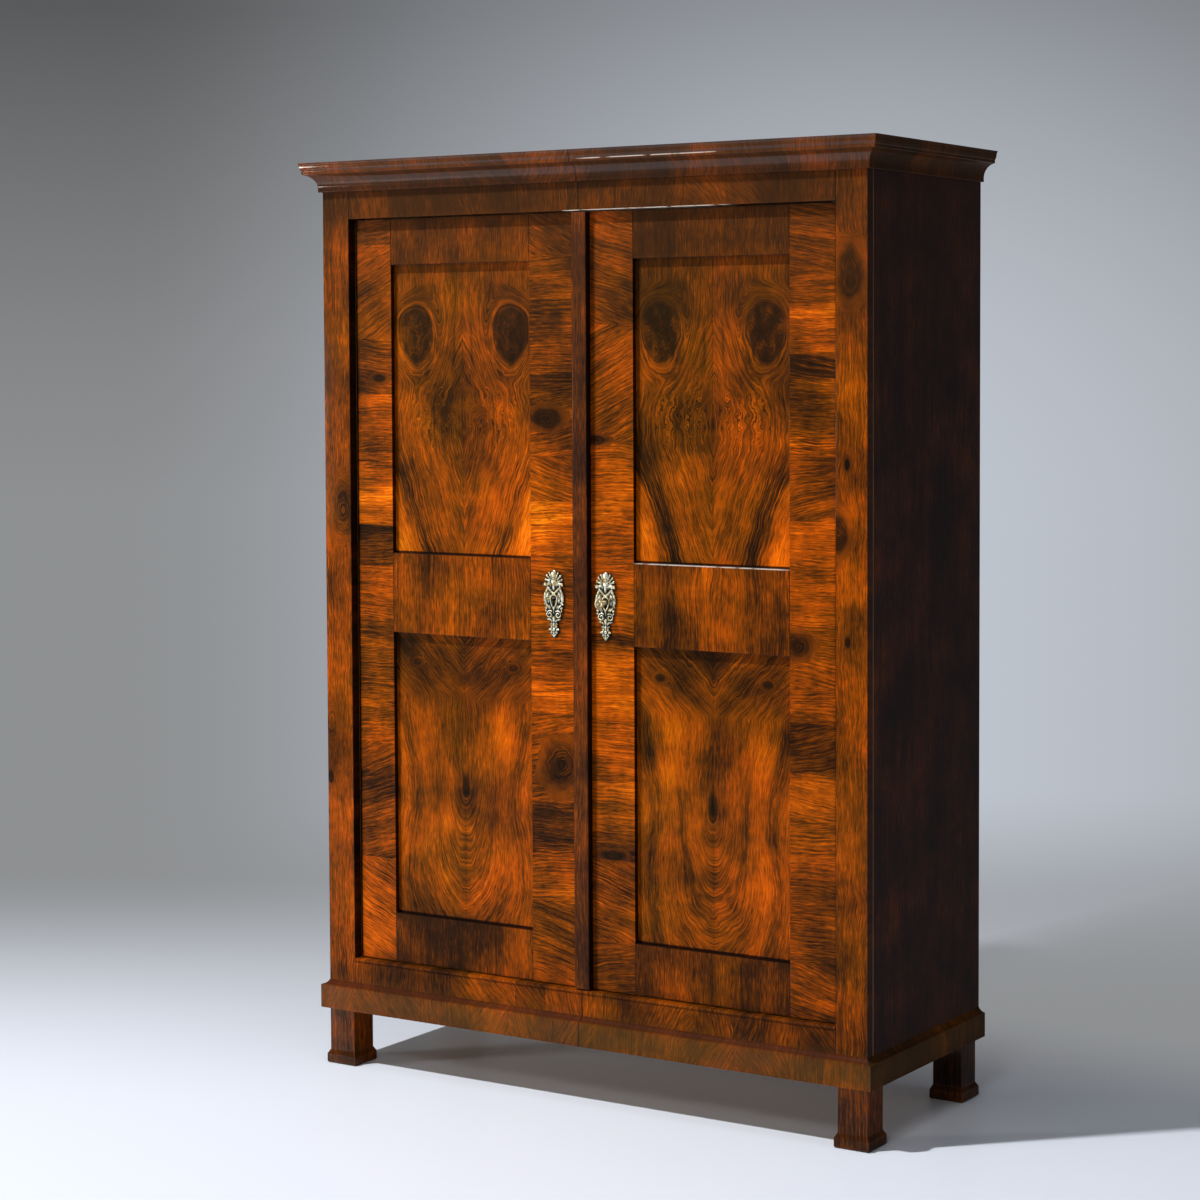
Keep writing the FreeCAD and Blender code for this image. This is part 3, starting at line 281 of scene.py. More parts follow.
@dataclass(frozen=True)
class WalnutColours:
    """Walnut from its darkest streaks to its brightest figure, as screen colours."""

    black: str = "150b03"
    deep: str = "341905"
    brown: str = "6b3203"
    orange: str = "ad4a02"
    bright: str = "e46802"
    gold: str = "f88e14"

    def stops(self) -> list[tuple[float, str]]:
        """The colours at even steps from 0 to 1."""
        codes = (self.black, self.deep, self.brown, self.orange, self.bright, self.gold)
        return [(number / (len(codes) - 1), code) for number, code in enumerate(codes)]


@dataclass(frozen=True)
class Softwood:
    """Planed spruce, as on the inner sides and the boards that don't show from outside.

    Attributes:
        run: The axis that its grain follows, z or x.
        pale: Colour between the dark rings.
        dark: Colour of these rings.
    """

    run: str = "z"
    pale: str = "c79a62"
    dark: str = "9a6c3c"

    def paint(self, sheet: NodeSheet, seed: float) -> Field:
        """The colour of softwood whose grain follows the run axis.

        Args:
            sheet: The material's nodes.
            seed: Shifts the pattern.

        Returns:
            The colour.
        """
        x, y, z = sheet.place
        along, across = (z, x + y) if self.run == "z" else (x, z + y)
        wave = sheet.noise((across * 3, along * 1.2, seed)) * 0.12
        rings = sheet.noise(((across + wave) * 60, along * 0.8, seed), detail=3)
        fibre = sheet.noise((across * 900, along * 14, seed), detail=2)
        tone = rings * 0.7 + fibre * 0.3
        return sheet.mix(tone.rise(0.30, 0.78), self.pale, self.dark)

    def build(self) -> bpy.types.Material:
        """Makes the material for boards that are softwood all through."""
        sheet = NodeSheet(f"softwood_{self.run}")
        sheet.set(Base_Color=self.paint(sheet, 3.0), Roughness=0.62)
        sheet.bump(sheet.noise(sheet.point, 700, 2), 0.0002)
        return sheet.material


class WalnutSheet(NodeSheet):
    """Polished walnut painted from a field that is level along each line of the grain.

    Lengths are in metres, and heights are measured from the floor.

    Attributes:
        rubbed: How strongly a painted highlight lies along an arris; nothing where none is.
        pores: The fine pores, set by timber and cut into the surface by polish.
    """

    rubbed: Union[Field, None] = None
    pores: Field
    outer_edge = (0.6435, 0.6455)  # distance from the centre line of the carcase's outer arris
    full_gloss = 0.5

    def timber(
        self, grain: Field, along: Field, light: Value, seed: float, bold: Value = 0.5
    ) -> Field:
        """Streaks, veins and pores.

        Args:
            grain: Distance across the grain, bent as the figure bends.
            along: Distance along the grain.
            light: How light the wood is, from 0 to 1.
            seed: Shifts the pattern.
            bold: Strength of the broad streaks and the veins.

        Returns:
            The colour.
        """
        bands = self.noise((grain * 26, along * 1.2, seed), detail=2) - 0.5
        streaks = self.noise((grain * 260, along * 6, seed + 7), detail=4, rough=0.66)
        fine = self.noise((grain * 560, along * 40, seed + 3), detail=2) - 0.5
        clouds = self.noise(self.point, 8, detail=4, rough=0.6) - 0.5
        tone = light + bands * (bold * 0.85)
        tone = tone + (streaks.rise(0.30, 0.70) - 0.5) * (bold * 0.4 + 0.08) + clouds * 0.88
        colour = self.ramp(tone + fine * 0.60, WalnutColours().stops())
        veins = self.noise((grain * 70, along * 2.6, seed + 21), detail=3, rough=0.6)
        patches = self.noise(self.point, 6).rise(0.46, 0.60)
        colour = self.mix(veins.hill(0.5, 0.022) * patches * bold, colour, "1d0e06")
        self.pores = self.noise((grain * 1100, along * 60, seed + 13), detail=2)
        colour = self.mix(self.pores.rise(0.56, 0.66) * 0.5, colour, "1a0b05")
        height = self.place[2]
        # Painted shade and a painted haze of reflection darken and brown the upper part; age has
        # browned the plinth, and the doors have olive patches.
        colour = self.mix(height.rise(1.30, 1.95) * 0.50, colour, "442a16")
        colour = self.mix(height.hill(0.145, 0.06) * 0.5, colour, "50381a")
        olive = self.noise(self.point, 5.5, detail=3).rise(0.44, 0.62) * height.rise(1.78, 1.60)
        return self.mix(olive * tone.rise(0.12, 0.40) * 0.6, colour, "e4ffa4", "MULTIPLY")

    def polish(
        self, colour: Field, inner_from: float = 0.0, inner_axis: int = 1, gloss: float = 0.05,
        front: float = 0.0,
    ) -> None:
        """Feeds a glossy shellac shader, with softwood on the side that faces inwards.

        Args:
            colour: The walnut's colour.
            inner_from: Distance along the axis past which the piece is softwood; 0 for nowhere.
            inner_axis: 1 for depth, 0 for the distance from the centre line.
            gloss: Strength of the shellac's shine away from the arrises, which shine fully.
            front: Depth of the piece's face; its edges behind that are blackened as painted shade,
                and browned at the carcase's outer sides; 0 for none.
        """
        roughness: Value = 0.5
        if front:
            x, y, _ = self.place
            behind, outer = y.rise(front + 0.0004, front + 0.0014), abs(x).rise(*self.outer_edge)
            # Painted shade: the faces behind the front, such as jambs, reveals and gaps, are
            # blackened; at the carcase's outer sides they take the side boards' brown instead.
            colour = self.mix(behind * (1 - outer) * 0.88, colour, DIRT)
            colour = self.mix(behind * outer * 0.85, colour, "2c1d1a")
        if inner_from:
            sideways = inner_axis == 0
            place = abs(self.place[0]) if sideways else self.place[1]
            edge = -0.0003 if sideways else 0.0003
            inner = place.rise(inner_from - edge, inner_from + edge)
            colour = self.mix(inner, colour, Softwood().paint(self, 5.0))
            roughness = inner * 0.2 + 0.5
        worn_node = self.add("ShaderNodeAttribute", {})
        worn_node.attribute_name = "worn"
        worn = Field(self, worn_node.outputs["Fac"])
        # On faced pieces the eased arrises are darkened: dark joint lines where pieces meet, partly
        # painted shade in the grooves that the arrises form.
        if front:
            colour = self.mix(worn * 0.75, colour, "120a06")
        # Painted highlight: a pale line along an arris that stands in for a glint of light.
        if self.rubbed:
            colour = self.mix(self.rubbed, colour, "d9cbbd")
        shine = worn * (self.full_gloss - gloss) + gloss
        self.set(
            Base_Color=colour, Roughness=roughness, Specular_IOR_Level=0.02, Coat_Weight=shine,
            Coat_Roughness=0.06,
        )
        self.bump(self.pores, -0.00012)


@dataclass(frozen=True)
class Leaf:
    """One piece of veneer in a row.

    Attributes:
        start: Where it begins along the row, in metres.
        lean: How its grain leans from straight across the row, in degrees.
        light: How light it is, from 0 to 1.
    """

    start: float
    lean: float
    light: float


@dataclass(frozen=True)
class Knot:
    """An oval knot: its place along and across the row, and its half sizes, in metres."""

    along: float
    across: float
    half_length: float
    half_width: float
    dark: float = 1.0


@dataclass(frozen=True)
class Shade:
    """A darker stretch of a row, or a lighter one where dark is below 0, with bolder streaks."""

    along: float
    half_length: float
    dark: float = 0.2


class Run(Enum):
    """The axis that a row of veneer follows, then the axis across its face."""

    UPRIGHT = (2, 0)
    SIDEWAYS = (0, 2)
    DEEP = (1, 2)


@dataclass(frozen=True)
class VeneerRow:
    """Pieces of veneer laid edge to edge along a stile, rail or moulding.

    Attributes:
        name: The finish's name.
        run: The way that the row runs.
        leaves: The pieces, in rising order of their start.
        end: Where the row ends.
        knots: The knots in it.
        shades: Its darker and lighter stretches.
        seed: Shifts the pattern.
        bold: Strength of the broad streaks.
        inner_from: Depth past which the piece is softwood.
        dark_above: Level above which a moulding's cove is darkened as painted shade; 0 for nowhere.
        front: Depth of the row's face, where the edges behind it are blackened as painted shade,
            and browned at the carcase's outer sides; 0 for none.
        gloss: Strength of the shellac's shine.
        rubbed: Height of an arris with a painted highlight, and its two ends along the row.
        joints: Where the row meets a neighbour in a dark line.
    """

    name: str
    run: Run
    leaves: tuple[Leaf, ...]
    end: float
    knots: tuple[Knot, ...] = ()
    shades: tuple[Shade, ...] = ()
    seed: float = 0.0
    bold: float = 0.5
    inner_from: float = 0.0
    dark_above: float = 0.0
    front: float = 0.0
    gloss: float = 0.05
    rubbed: tuple[float, ...] = ()
    joints: tuple[float, ...] = ()

    seam_reach, joint_reach, rub_reach, rub_fade = 0.0010, 0.0024, 0.0016, 0.05

    def build(self) -> bpy.types.Material:
        """Makes the row's material."""
        sheet = WalnutSheet(self.name)
        place = sheet.place
        length, width = place[self.run.value[0]], place[self.run.value[1]]
        low = self.leaves[0].start
        whole = self.end - low
        # One stepped ramp holds each leaf's lean, lightness and shift of the pattern.
        stops = [
            (
                (leaf.start - low) / whole,
                (leaf.lean / 360 + 0.5, leaf.light, (number * 0.37) % 1.0, 1.0),
            )
            for number, leaf in enumerate(self.leaves)
        ]
        share = (length - low) / whole
        lean, light, shift = sheet.parts(sheet.ramp(share, stops, stepped=True))
        sway = sheet.noise((length * 9, width * 5, shift * 30 + self.seed)) - 0.5
        angle = (lean - 0.5) * (2 * math.pi)
        sine, cosine = sheet.math("SINE", angle), sheet.math("COSINE", angle)
        near = length - low
        grain = near * cosine - width * sine
        along = near * sine + width * cosine
        ripple = sheet.noise((length * 40, width * 30, shift * 10), detail=2) - 0.5
        grain = grain + sway * 0.03 + ripple * 0.0035 + shift * 3
        bold: Value = self.bold
        for shade in self.shades:
            there = (length + sway * 0.05).hill(shade.along, shade.half_length)
            light = light - there * shade.dark
            bold = bold + there * (abs(shade.dark) * 3.5)
        for knot in self.knots:
            grain, light = self.with_knot(sheet, knot, (length, width), grain, light)
        colour = sheet.timber(grain, along, light, self.seed, bold)
        if self.dark_above:
            # Painted shade: the moulding's cove is darkened above this level.
            cove = place[2].rise(self.dark_above - 0.001, self.dark_above + 0.002)
            colour = sheet.mix(cove * 0.75, colour, "34140a")
        for leaf in self.leaves[1:]:
            seam = length.hill(leaf.start, self.seam_reach)
            colour = sheet.mix(seam * 0.45, colour, "180b06")
        for joint in self.joints:
            colour = sheet.mix(length.hill(joint, self.joint_reach) * 0.85, colour, DIRT)
        # A painted highlight along one arris, broken into patches, between the row's two ends.
        if self.rubbed:
            height, start, end = self.rubbed
            patchy = sheet.noise((length * 30, 0.0, self.seed)).rise(0.35, 0.5)
            fade = self.rub_fade
            span = length.rise(start, start + fade) * length.rise(end, end - fade)
            sheet.rubbed = place[2].hill(height, self.rub_reach) * span * patchy * 0.8
        sheet.polish(colour, self.inner_from, gloss=self.gloss, front=self.front)
        return sheet.material

    def with_knot(
        self, sheet: NodeSheet, knot: Knot, place: tuple[Field, Field], grain: Field, light: Field
    ) -> tuple[Field, Field]:
        """Bends the grain round a knot and darkens its heart.

        Args:
            sheet: The material's nodes.
            knot: The knot.
            place: The places along and across the row.
            grain: The grain so far.
            light: The lightness so far.

        Returns:
            The new grain and lightness.
        """
        along = (place[0] - knot.along) / knot.half_length
        across = (place[1] - knot.across) / knot.half_width
        warp = sheet.noise((place[0] * 30, place[1] * 30, knot.along * 50)) - 0.5
        distance = (along * along + across * across).root() + warp * 0.9
        near = distance.rise(1.6, 0.75)
        rings = distance * (min(knot.half_length, knot.half_width) * 0.7)
        grain = grain + (rings - grain) * near
        heart = distance.rise(1.25, 0.65) * 0.24 + distance.rise(2.2, 0.9) * 0.06
        return grain, light - heart * knot.dark


@dataclass(frozen=True)
class PanelFigure:
    """Book-matched veneer on a door panel, mirrored about the panel's centre line.

    Its kinds paint with the distance out from the panel's centre line and the height from the
    floor, in metres.

    Attributes:
        name: The finish's name.
        centre: The centre line, in metres from the cupboard's.
        light: How light the panel is.
        seed: Shifts the pattern a little from one door to the other.
        half_width: Half the width that shows.
        sill: Height of the rail's upper arris under the panel.
        back: Depth past which the panel is softwood.
    """

    name: str
    centre: float
    light: float
    seed: float

    half_width = 0.1755
    sill = 0.0
    back = -0.1865

    def start(self) -> tuple[WalnutSheet, Field, Field]:
        """A sheet with the mirrored distance from the centre line and the height."""
        sheet = WalnutSheet(self.name)
        x, _, z = sheet.place
        drift = sheet.noise((z * 7, x * 7, self.seed), detail=3) - 0.5
        return sheet, abs(x - self.centre + drift * 0.018), z

    def finish(self, sheet: WalnutSheet, colour: Field) -> bpy.types.Material:
        """Adds the centre joint, the left half's cooler sheen, painted shade along the lower and
        right edges, and the polish.
        """
        x, _, z = sheet.place
        joint = x.hill(self.centre, 0.0012)
        colour = sheet.mix(joint * 0.5, colour, "1c0d06")
        left = x.rise(self.centre + 0.0005, self.centre - 0.0005)
        colour = sheet.mix(left * 0.45, colour, "d2f09a", "MULTIPLY")
        right = self.centre + self.half_width
        # Painted shade: a dark band along the panel's lower edge above the rail, and a fainter one
        # along its right edge.
        grime = z.rise(self.sill + 0.0055, self.sill + 0.0035) * 0.92
        grime = grime.at_least(x.rise(right - 0.0035, right - 0.0020) * 0.6)
        sheet.polish(sheet.mix(grime, colour, DIRT), inner_from=self.back)
        return sheet.material


class EyedFigure(PanelFigure):
    """The upper panels: two dark eyes, and streaks that flow down from them."""

    sill = 1.094
    eye_place = 0.119
    eye_level = 1.562
    eye_width = 0.042
    eye_height = 0.045
    eye_drop = 0.078
    foot_level = 1.10

    def build(self) -> bpy.types.Material:
        """Makes the upper panel's material."""
        sheet, out, z = self.start()
        warp = sheet.noise((out * 16, z * 11, self.seed), detail=3, rough=0.6) - 0.5
        curl = sheet.noise((out * 42, z * 34, self.seed + 5), detail=3) - 0.5
        # The grain runs down and in, and writhes under the eyes.
        writhing = z.hill(1.39, 0.11) * out.rise(0.004, 0.03) * out.rise(0.16, 0.09)
        flow = out - (z - self.foot_level) * (z.rise(1.60, 1.30) * 0.34) + warp * 0.022
        flow = flow + curl * (writhing * 0.045 + 0.006)
        # Round an eye it follows rings, longer beneath than above, and curls inside.
        across = (out - self.eye_place) / self.eye_width
        above = (z - self.eye_level).at_least(0.0) / self.eye_height
        beneath = (self.eye_level - z).at_least(0.0) / self.eye_drop
        square = across * across + above * above + beneath * beneath
        distance = square.root() + warp * 0.45 + curl * 0.12
        near = distance.rise(2.0, 1.15) * z.rise(1.42, 1.47)
        grain = flow + (distance * (self.eye_width * 0.95) - flow) * near
        heart = distance.rise(1.10, 0.84)
        grain = grain + (out * 0.6 + curl * 0.07 - grain) * distance.rise(0.98, 0.80)
        # Dark hearts and rims, a brow over the eyes, a dark spine and pale outer corners.
        speckle = sheet.noise((out * 46, z * 26, self.seed + 9), detail=3) - 0.5
        light = z.rise(1.45, 1.15) * 0.10 + self.light - heart * (speckle * -0.7 + 0.23)
        light = light - distance.hill(1.05, 0.10) * z.rise(1.50, 1.56) * 0.12
        light = light - z.hill(1.636, 0.022) * out.hill(0.10, 0.055) * 0.12
        light = light - out.hill(0.021, 0.005) * z.hill(1.52, 0.09) * 0.14
        light = light - out.rise(0.016, 0.0) * z.hill(1.34, 0.13) * 0.07
        streak = flow.hill(0.088, 0.036) * z.rise(1.38, 1.24)
        corner = flow.rise(0.112, 0.140) * z.rise(1.30, 1.14)
        light = light - streak * 0.13 + corner * 0.20
        bold = streak * 0.9 + near * 0.1 + writhing * 0.30 + 0.24 - heart * 0.15
        colour = sheet.timber(grain, z, light, self.seed, bold)
        return self.finish(sheet, colour)


class HourglassFigure(PanelFigure):
    """The lower panels: a V above, dark bands that draw in at the middle and nested arcs below."""

    sill = 0.336
    arc_level = 0.615
    fork_level = 0.80
    heart_level = 0.618
    knot_width = 0.012

    def oval(self, across: Field, up: Field, half_sizes: tuple[float, float]) -> Field:
        """How far a point is from an oval's centre, where its edge is at 1."""
        aside, above = across / half_sizes[0], up / half_sizes[1]
        return (aside * aside + above * above).root()

    def build(self) -> bpy.types.Material:
        """Makes the lower panel's material."""
        sheet, out, z = self.start()
        warp = sheet.noise((out * 14, z * 7, self.seed), detail=3) - 0.5
        curl = sheet.noise((out * 45, z * 28, self.seed + 5), detail=3) - 0.5
        # Nested arcs hang under one level, a V stands over another, and a waist lies between.
        drop = ((self.arc_level - z) * 0.36).at_least(0.0)
        lift = (z - self.fork_level).at_least(0.0)
        waist = z.hill(0.60, 0.19) * out.rise(0.03, 0.14) * 0.032
        grain = (out * out + drop * drop).root() - lift * 0.95 + waist
        grain = grain + warp * 0.024 + curl * (z.rise(0.78, 0.86) * 0.02 + 0.005)
        knot = self.oval(out - 0.122, z - 0.868, (self.knot_width, 0.008)) + warp
        grain = grain + (knot * self.knot_width - grain) * knot.rise(2.0, 0.9)
        heart = self.oval(out, z - self.heart_level, (0.010, 0.024)) + curl
        # Pale flanks and middle, dark bands along the waist, a dark heart, spine and fork.
        light = self.light - z.rise(0.80, 0.87) * 0.10
        light = light + z.hill(0.72, 0.13) * out.hill(0.095, 0.06) * 0.16
        light = light + z.hill(0.60, 0.12) * out.hill(0.045, 0.03) * 0.08
        bands = grain.hill(0.160, 0.022) * z.rise(0.82, 0.74) * 0.13
        bands = bands + grain.hill(0.082, 0.016) * z.rise(0.76, 0.60) * 0.09
        arcs = z.rise(0.52, 0.44) * out.rise(0.09, 0.05)
        light = light - bands - knot.rise(1.3, 0.6) * 0.18 - heart.rise(1.5, 0.3) * 0.32
        light = light - out.rise(0.012, 0.0) * z.hill(0.50, 0.10) * 0.07 - arcs * 0.03
        light = light - out.rise(0.030, 0.0) * z.rise(0.84, 0.90) * 0.10 - z.rise(0.42, 0.34) * 0.05
        broad = sheet.noise((grain * 24, z * 1.4, self.seed + 31), detail=1) - 0.5
        light = light + broad * 0.45
        bold = bands * 2.0 + arcs * 0.25 + z.rise(0.80, 0.88) * 0.30 + 0.06
        colour = sheet.timber(grain, z, light, self.seed, bold)
        return self.finish(sheet, colour)


@dataclass(frozen=True)
class PlainWalnut:
    """Straight-grained walnut on the side boards, legs and closing strip.

    Attributes:
        name: The finish's name.
        light: How light it is.
        seed: Shifts the pattern.
        bold: Strength of the broad streaks.
        inner_from: Distance from the centre line inside which it is softwood; 0 for nowhere.
        gloss: Strength of the shellac's shine.
        dull: How far it has darkened to a cold brown, from 0 to 1.
        front: Depth of its face, where the edges behind it are blackened as painted shade, and
            browned at the carcase's outer sides; 0 for none.
    """

    name: str
    light: float
    seed: float
    bold: float = 0.4
    inner_from: float = 0.0
    gloss: float = 0.05
    dull: float = 0.0
    front: float = 0.0

    def build(self) -> bpy.types.Material:
        """Makes the material."""
        sheet = WalnutSheet(self.name)
        x, y, z = sheet.place
        sway = sheet.noise((x * 4, y * 4, z * 1.5 + self.seed), detail=2) - 0.5
        grain = x + y + sway * 0.08
        colour = sheet.timber(grain, z, self.light, self.seed, self.bold)
        colour = sheet.mix(self.dull, colour, "2c1f20")
        sheet.polish(colour, self.inner_from, inner_axis=0, gloss=self.gloss, front=self.front)
        return sheet.material


@dataclass(frozen=True)
class TurnedBeech:
    """Waxed beech with short dark flecks, on the hanging rail."""

    def build(self) -> bpy.types.Material:
        """Makes the material."""
        sheet = NodeSheet("turned_beech")
        x, y, z = sheet.place
        fleck = sheet.noise((x * 60, y * 500, z * 500), detail=1)
        bands = sheet.noise((x * 3, y * 50, z * 50), detail=2)
        colour = sheet.mix(bands, "c99a66", "a8743f")
        colour = sheet.mix(fleck.rise(0.6, 0.72), colour, "7c4d28")
        sheet.set(Base_Color=colour, Roughness=0.42)
        return sheet.material


@dataclass(frozen=True)
class CastMetal:
    """Worn silvery gilt, bright on what stands proud and dark in the hollows.

    Attributes:
        name: The finish's name.
        front: Depth of the highest relief.
        back: Depth of the hollows.
        pale: Colour of what stands proud.
        warm: Colour of the gilt that is left.
        dark: Colour in the hollows.
        metallic: How metallic it is, from 0 to 1.
    """

    name: str
    front: float
    back: float
    pale: str = "cfd0c0"
    warm: str = "b8a878"
    dark: str = "1a1811"
    metallic: float = 0.85

    def build(self) -> bpy.types.Material:
        """Makes the material."""
        sheet = NodeSheet(self.name)
        y = sheet.place[1]
        patches = sheet.noise(sheet.point, 110, detail=2)
        colour = sheet.mix(patches.rise(0.42, 0.62), self.pale, self.warm)
        height = y + (sheet.noise(sheet.point, 400, detail=2) - 0.5) * 0.0012
        hollow = height.rise(self.front, self.back)
        colour = sheet.mix(hollow, colour, self.dark)
        sheet.set(Base_Color=colour, Metallic=self.metallic, Roughness=0.34)
        sheet.bump(sheet.noise(sheet.point, 900, 2), 0.0001)
        return sheet.material


@dataclass(frozen=True)
class WroughtIron:
    """Dark forged iron with rusty patches, on the lock and the bolts."""

    def build(self) -> bpy.types.Material:
        """Makes the material."""
        sheet = NodeSheet("iron")
        rust = sheet.noise(sheet.point, 90, detail=4, rough=0.65)
        colour = sheet.mix(rust.rise(0.52, 0.68), "3b3734", "5b3c28")
        sheet.set(
            Base_Color=colour, Metallic=0.8, Roughness=sheet.noise(sheet.point, 300) * 0.4 + 0.3
        )
        sheet.bump(sheet.noise(sheet.point, 500, 3), 0.0003)
        return sheet.material


def new_piece(
    name: str, mesh: bpy.types.Mesh, nodes: Sequence[str], material: bpy.types.Material
) -> bpy.types.Object:
    """Adds a finished piece that stands for CAD nodes and moves with their body.

    Args:
        name: The piece's name.
        mesh: Its mesh, in the row frame.
        nodes: The CAD nodes that it stands for.
        material: Its finish.

    Returns:
        The new object.
    """
    mesh.materials.clear()
    mesh.materials.append(material)
    piece = bpy.data.objects.new(name, mesh)
    bpy.context.scene.collection.objects.link(piece)
    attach(piece, BODY_OF[nodes[0]])
    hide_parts(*nodes)
    LOG.info("%s: %d faces", name, len(mesh.polygons))
    return piece


def mesh_from(name: str, shape: bmesh.types.BMesh) -> bpy.types.Mesh:
    """Turns a bmesh into a named mesh and frees it."""
    mesh = bpy.data.meshes.new(name)
    shape.to_mesh(mesh)
    shape.free()
    return mesh


@dataclass(frozen=True)
class EasedNodes:
    """CAD nodes that keep their shape and get worn arrises and a finish.

    Attributes:
        nodes: The CAD nodes.
        material: Their finish.
        ease: Width of the worn arrises, in metres.
        flat_angle: Faces that meet at less are one face.
        arris_angle: Faces that meet at more get a worn arris between them.
        smooth_angle: Faces that meet at less are shaded as one curve.
    """

    nodes: tuple[str, ...]
    material: bpy.types.Material
    ease: float

    flat_angle, arris_angle, smooth_angle = (math.radians(angle) for angle in (0.5, 28, 40))

    def build(self) -> None:
        """Makes one piece for each node."""
        for node in self.nodes:
            self.build_piece(node)

    def build_piece(self, node: str) -> None:
        """Copies a node's mesh, merges it, and rounds its arrises and marks them as worn."""
        shape = bmesh.new()
        shape.from_mesh(frame["nodes"][node].data)
        worn = shape.faces.layers.float.new("worn")
        bmesh.ops.remove_doubles(shape, verts=shape.verts, dist=1e-6)
        bmesh.ops.dissolve_limit(
            shape, angle_limit=self.flat_angle, verts=shape.verts, edges=shape.edges
        )
        arrises = [
            edge for edge in shape.edges
            if edge.is_manifold and edge.calc_face_angle(0.0) > self.arris_angle
        ]
        rounded = bmesh.ops.bevel(
            shape, geom=arrises, offset=self.ease, offset_type="OFFSET", affect="EDGES",
            segments=2, profile=0.5, material=-1, clamp_overlap=True,
        )
        for face in rounded["faces"]:
            face[worn] = 1.0
        for face in shape.faces:
            face.smooth = True
        for edge in shape.edges:
            edge.smooth = edge.is_manifold and edge.calc_face_angle(0.0) < self.smooth_angle
        piece = new_piece(f"shown_{node}", mesh_from(node, shape), [node], self.material)
        weighted = piece.modifiers.new("even_shading", "WEIGHTED_NORMAL")
        weighted.keep_sharp = True


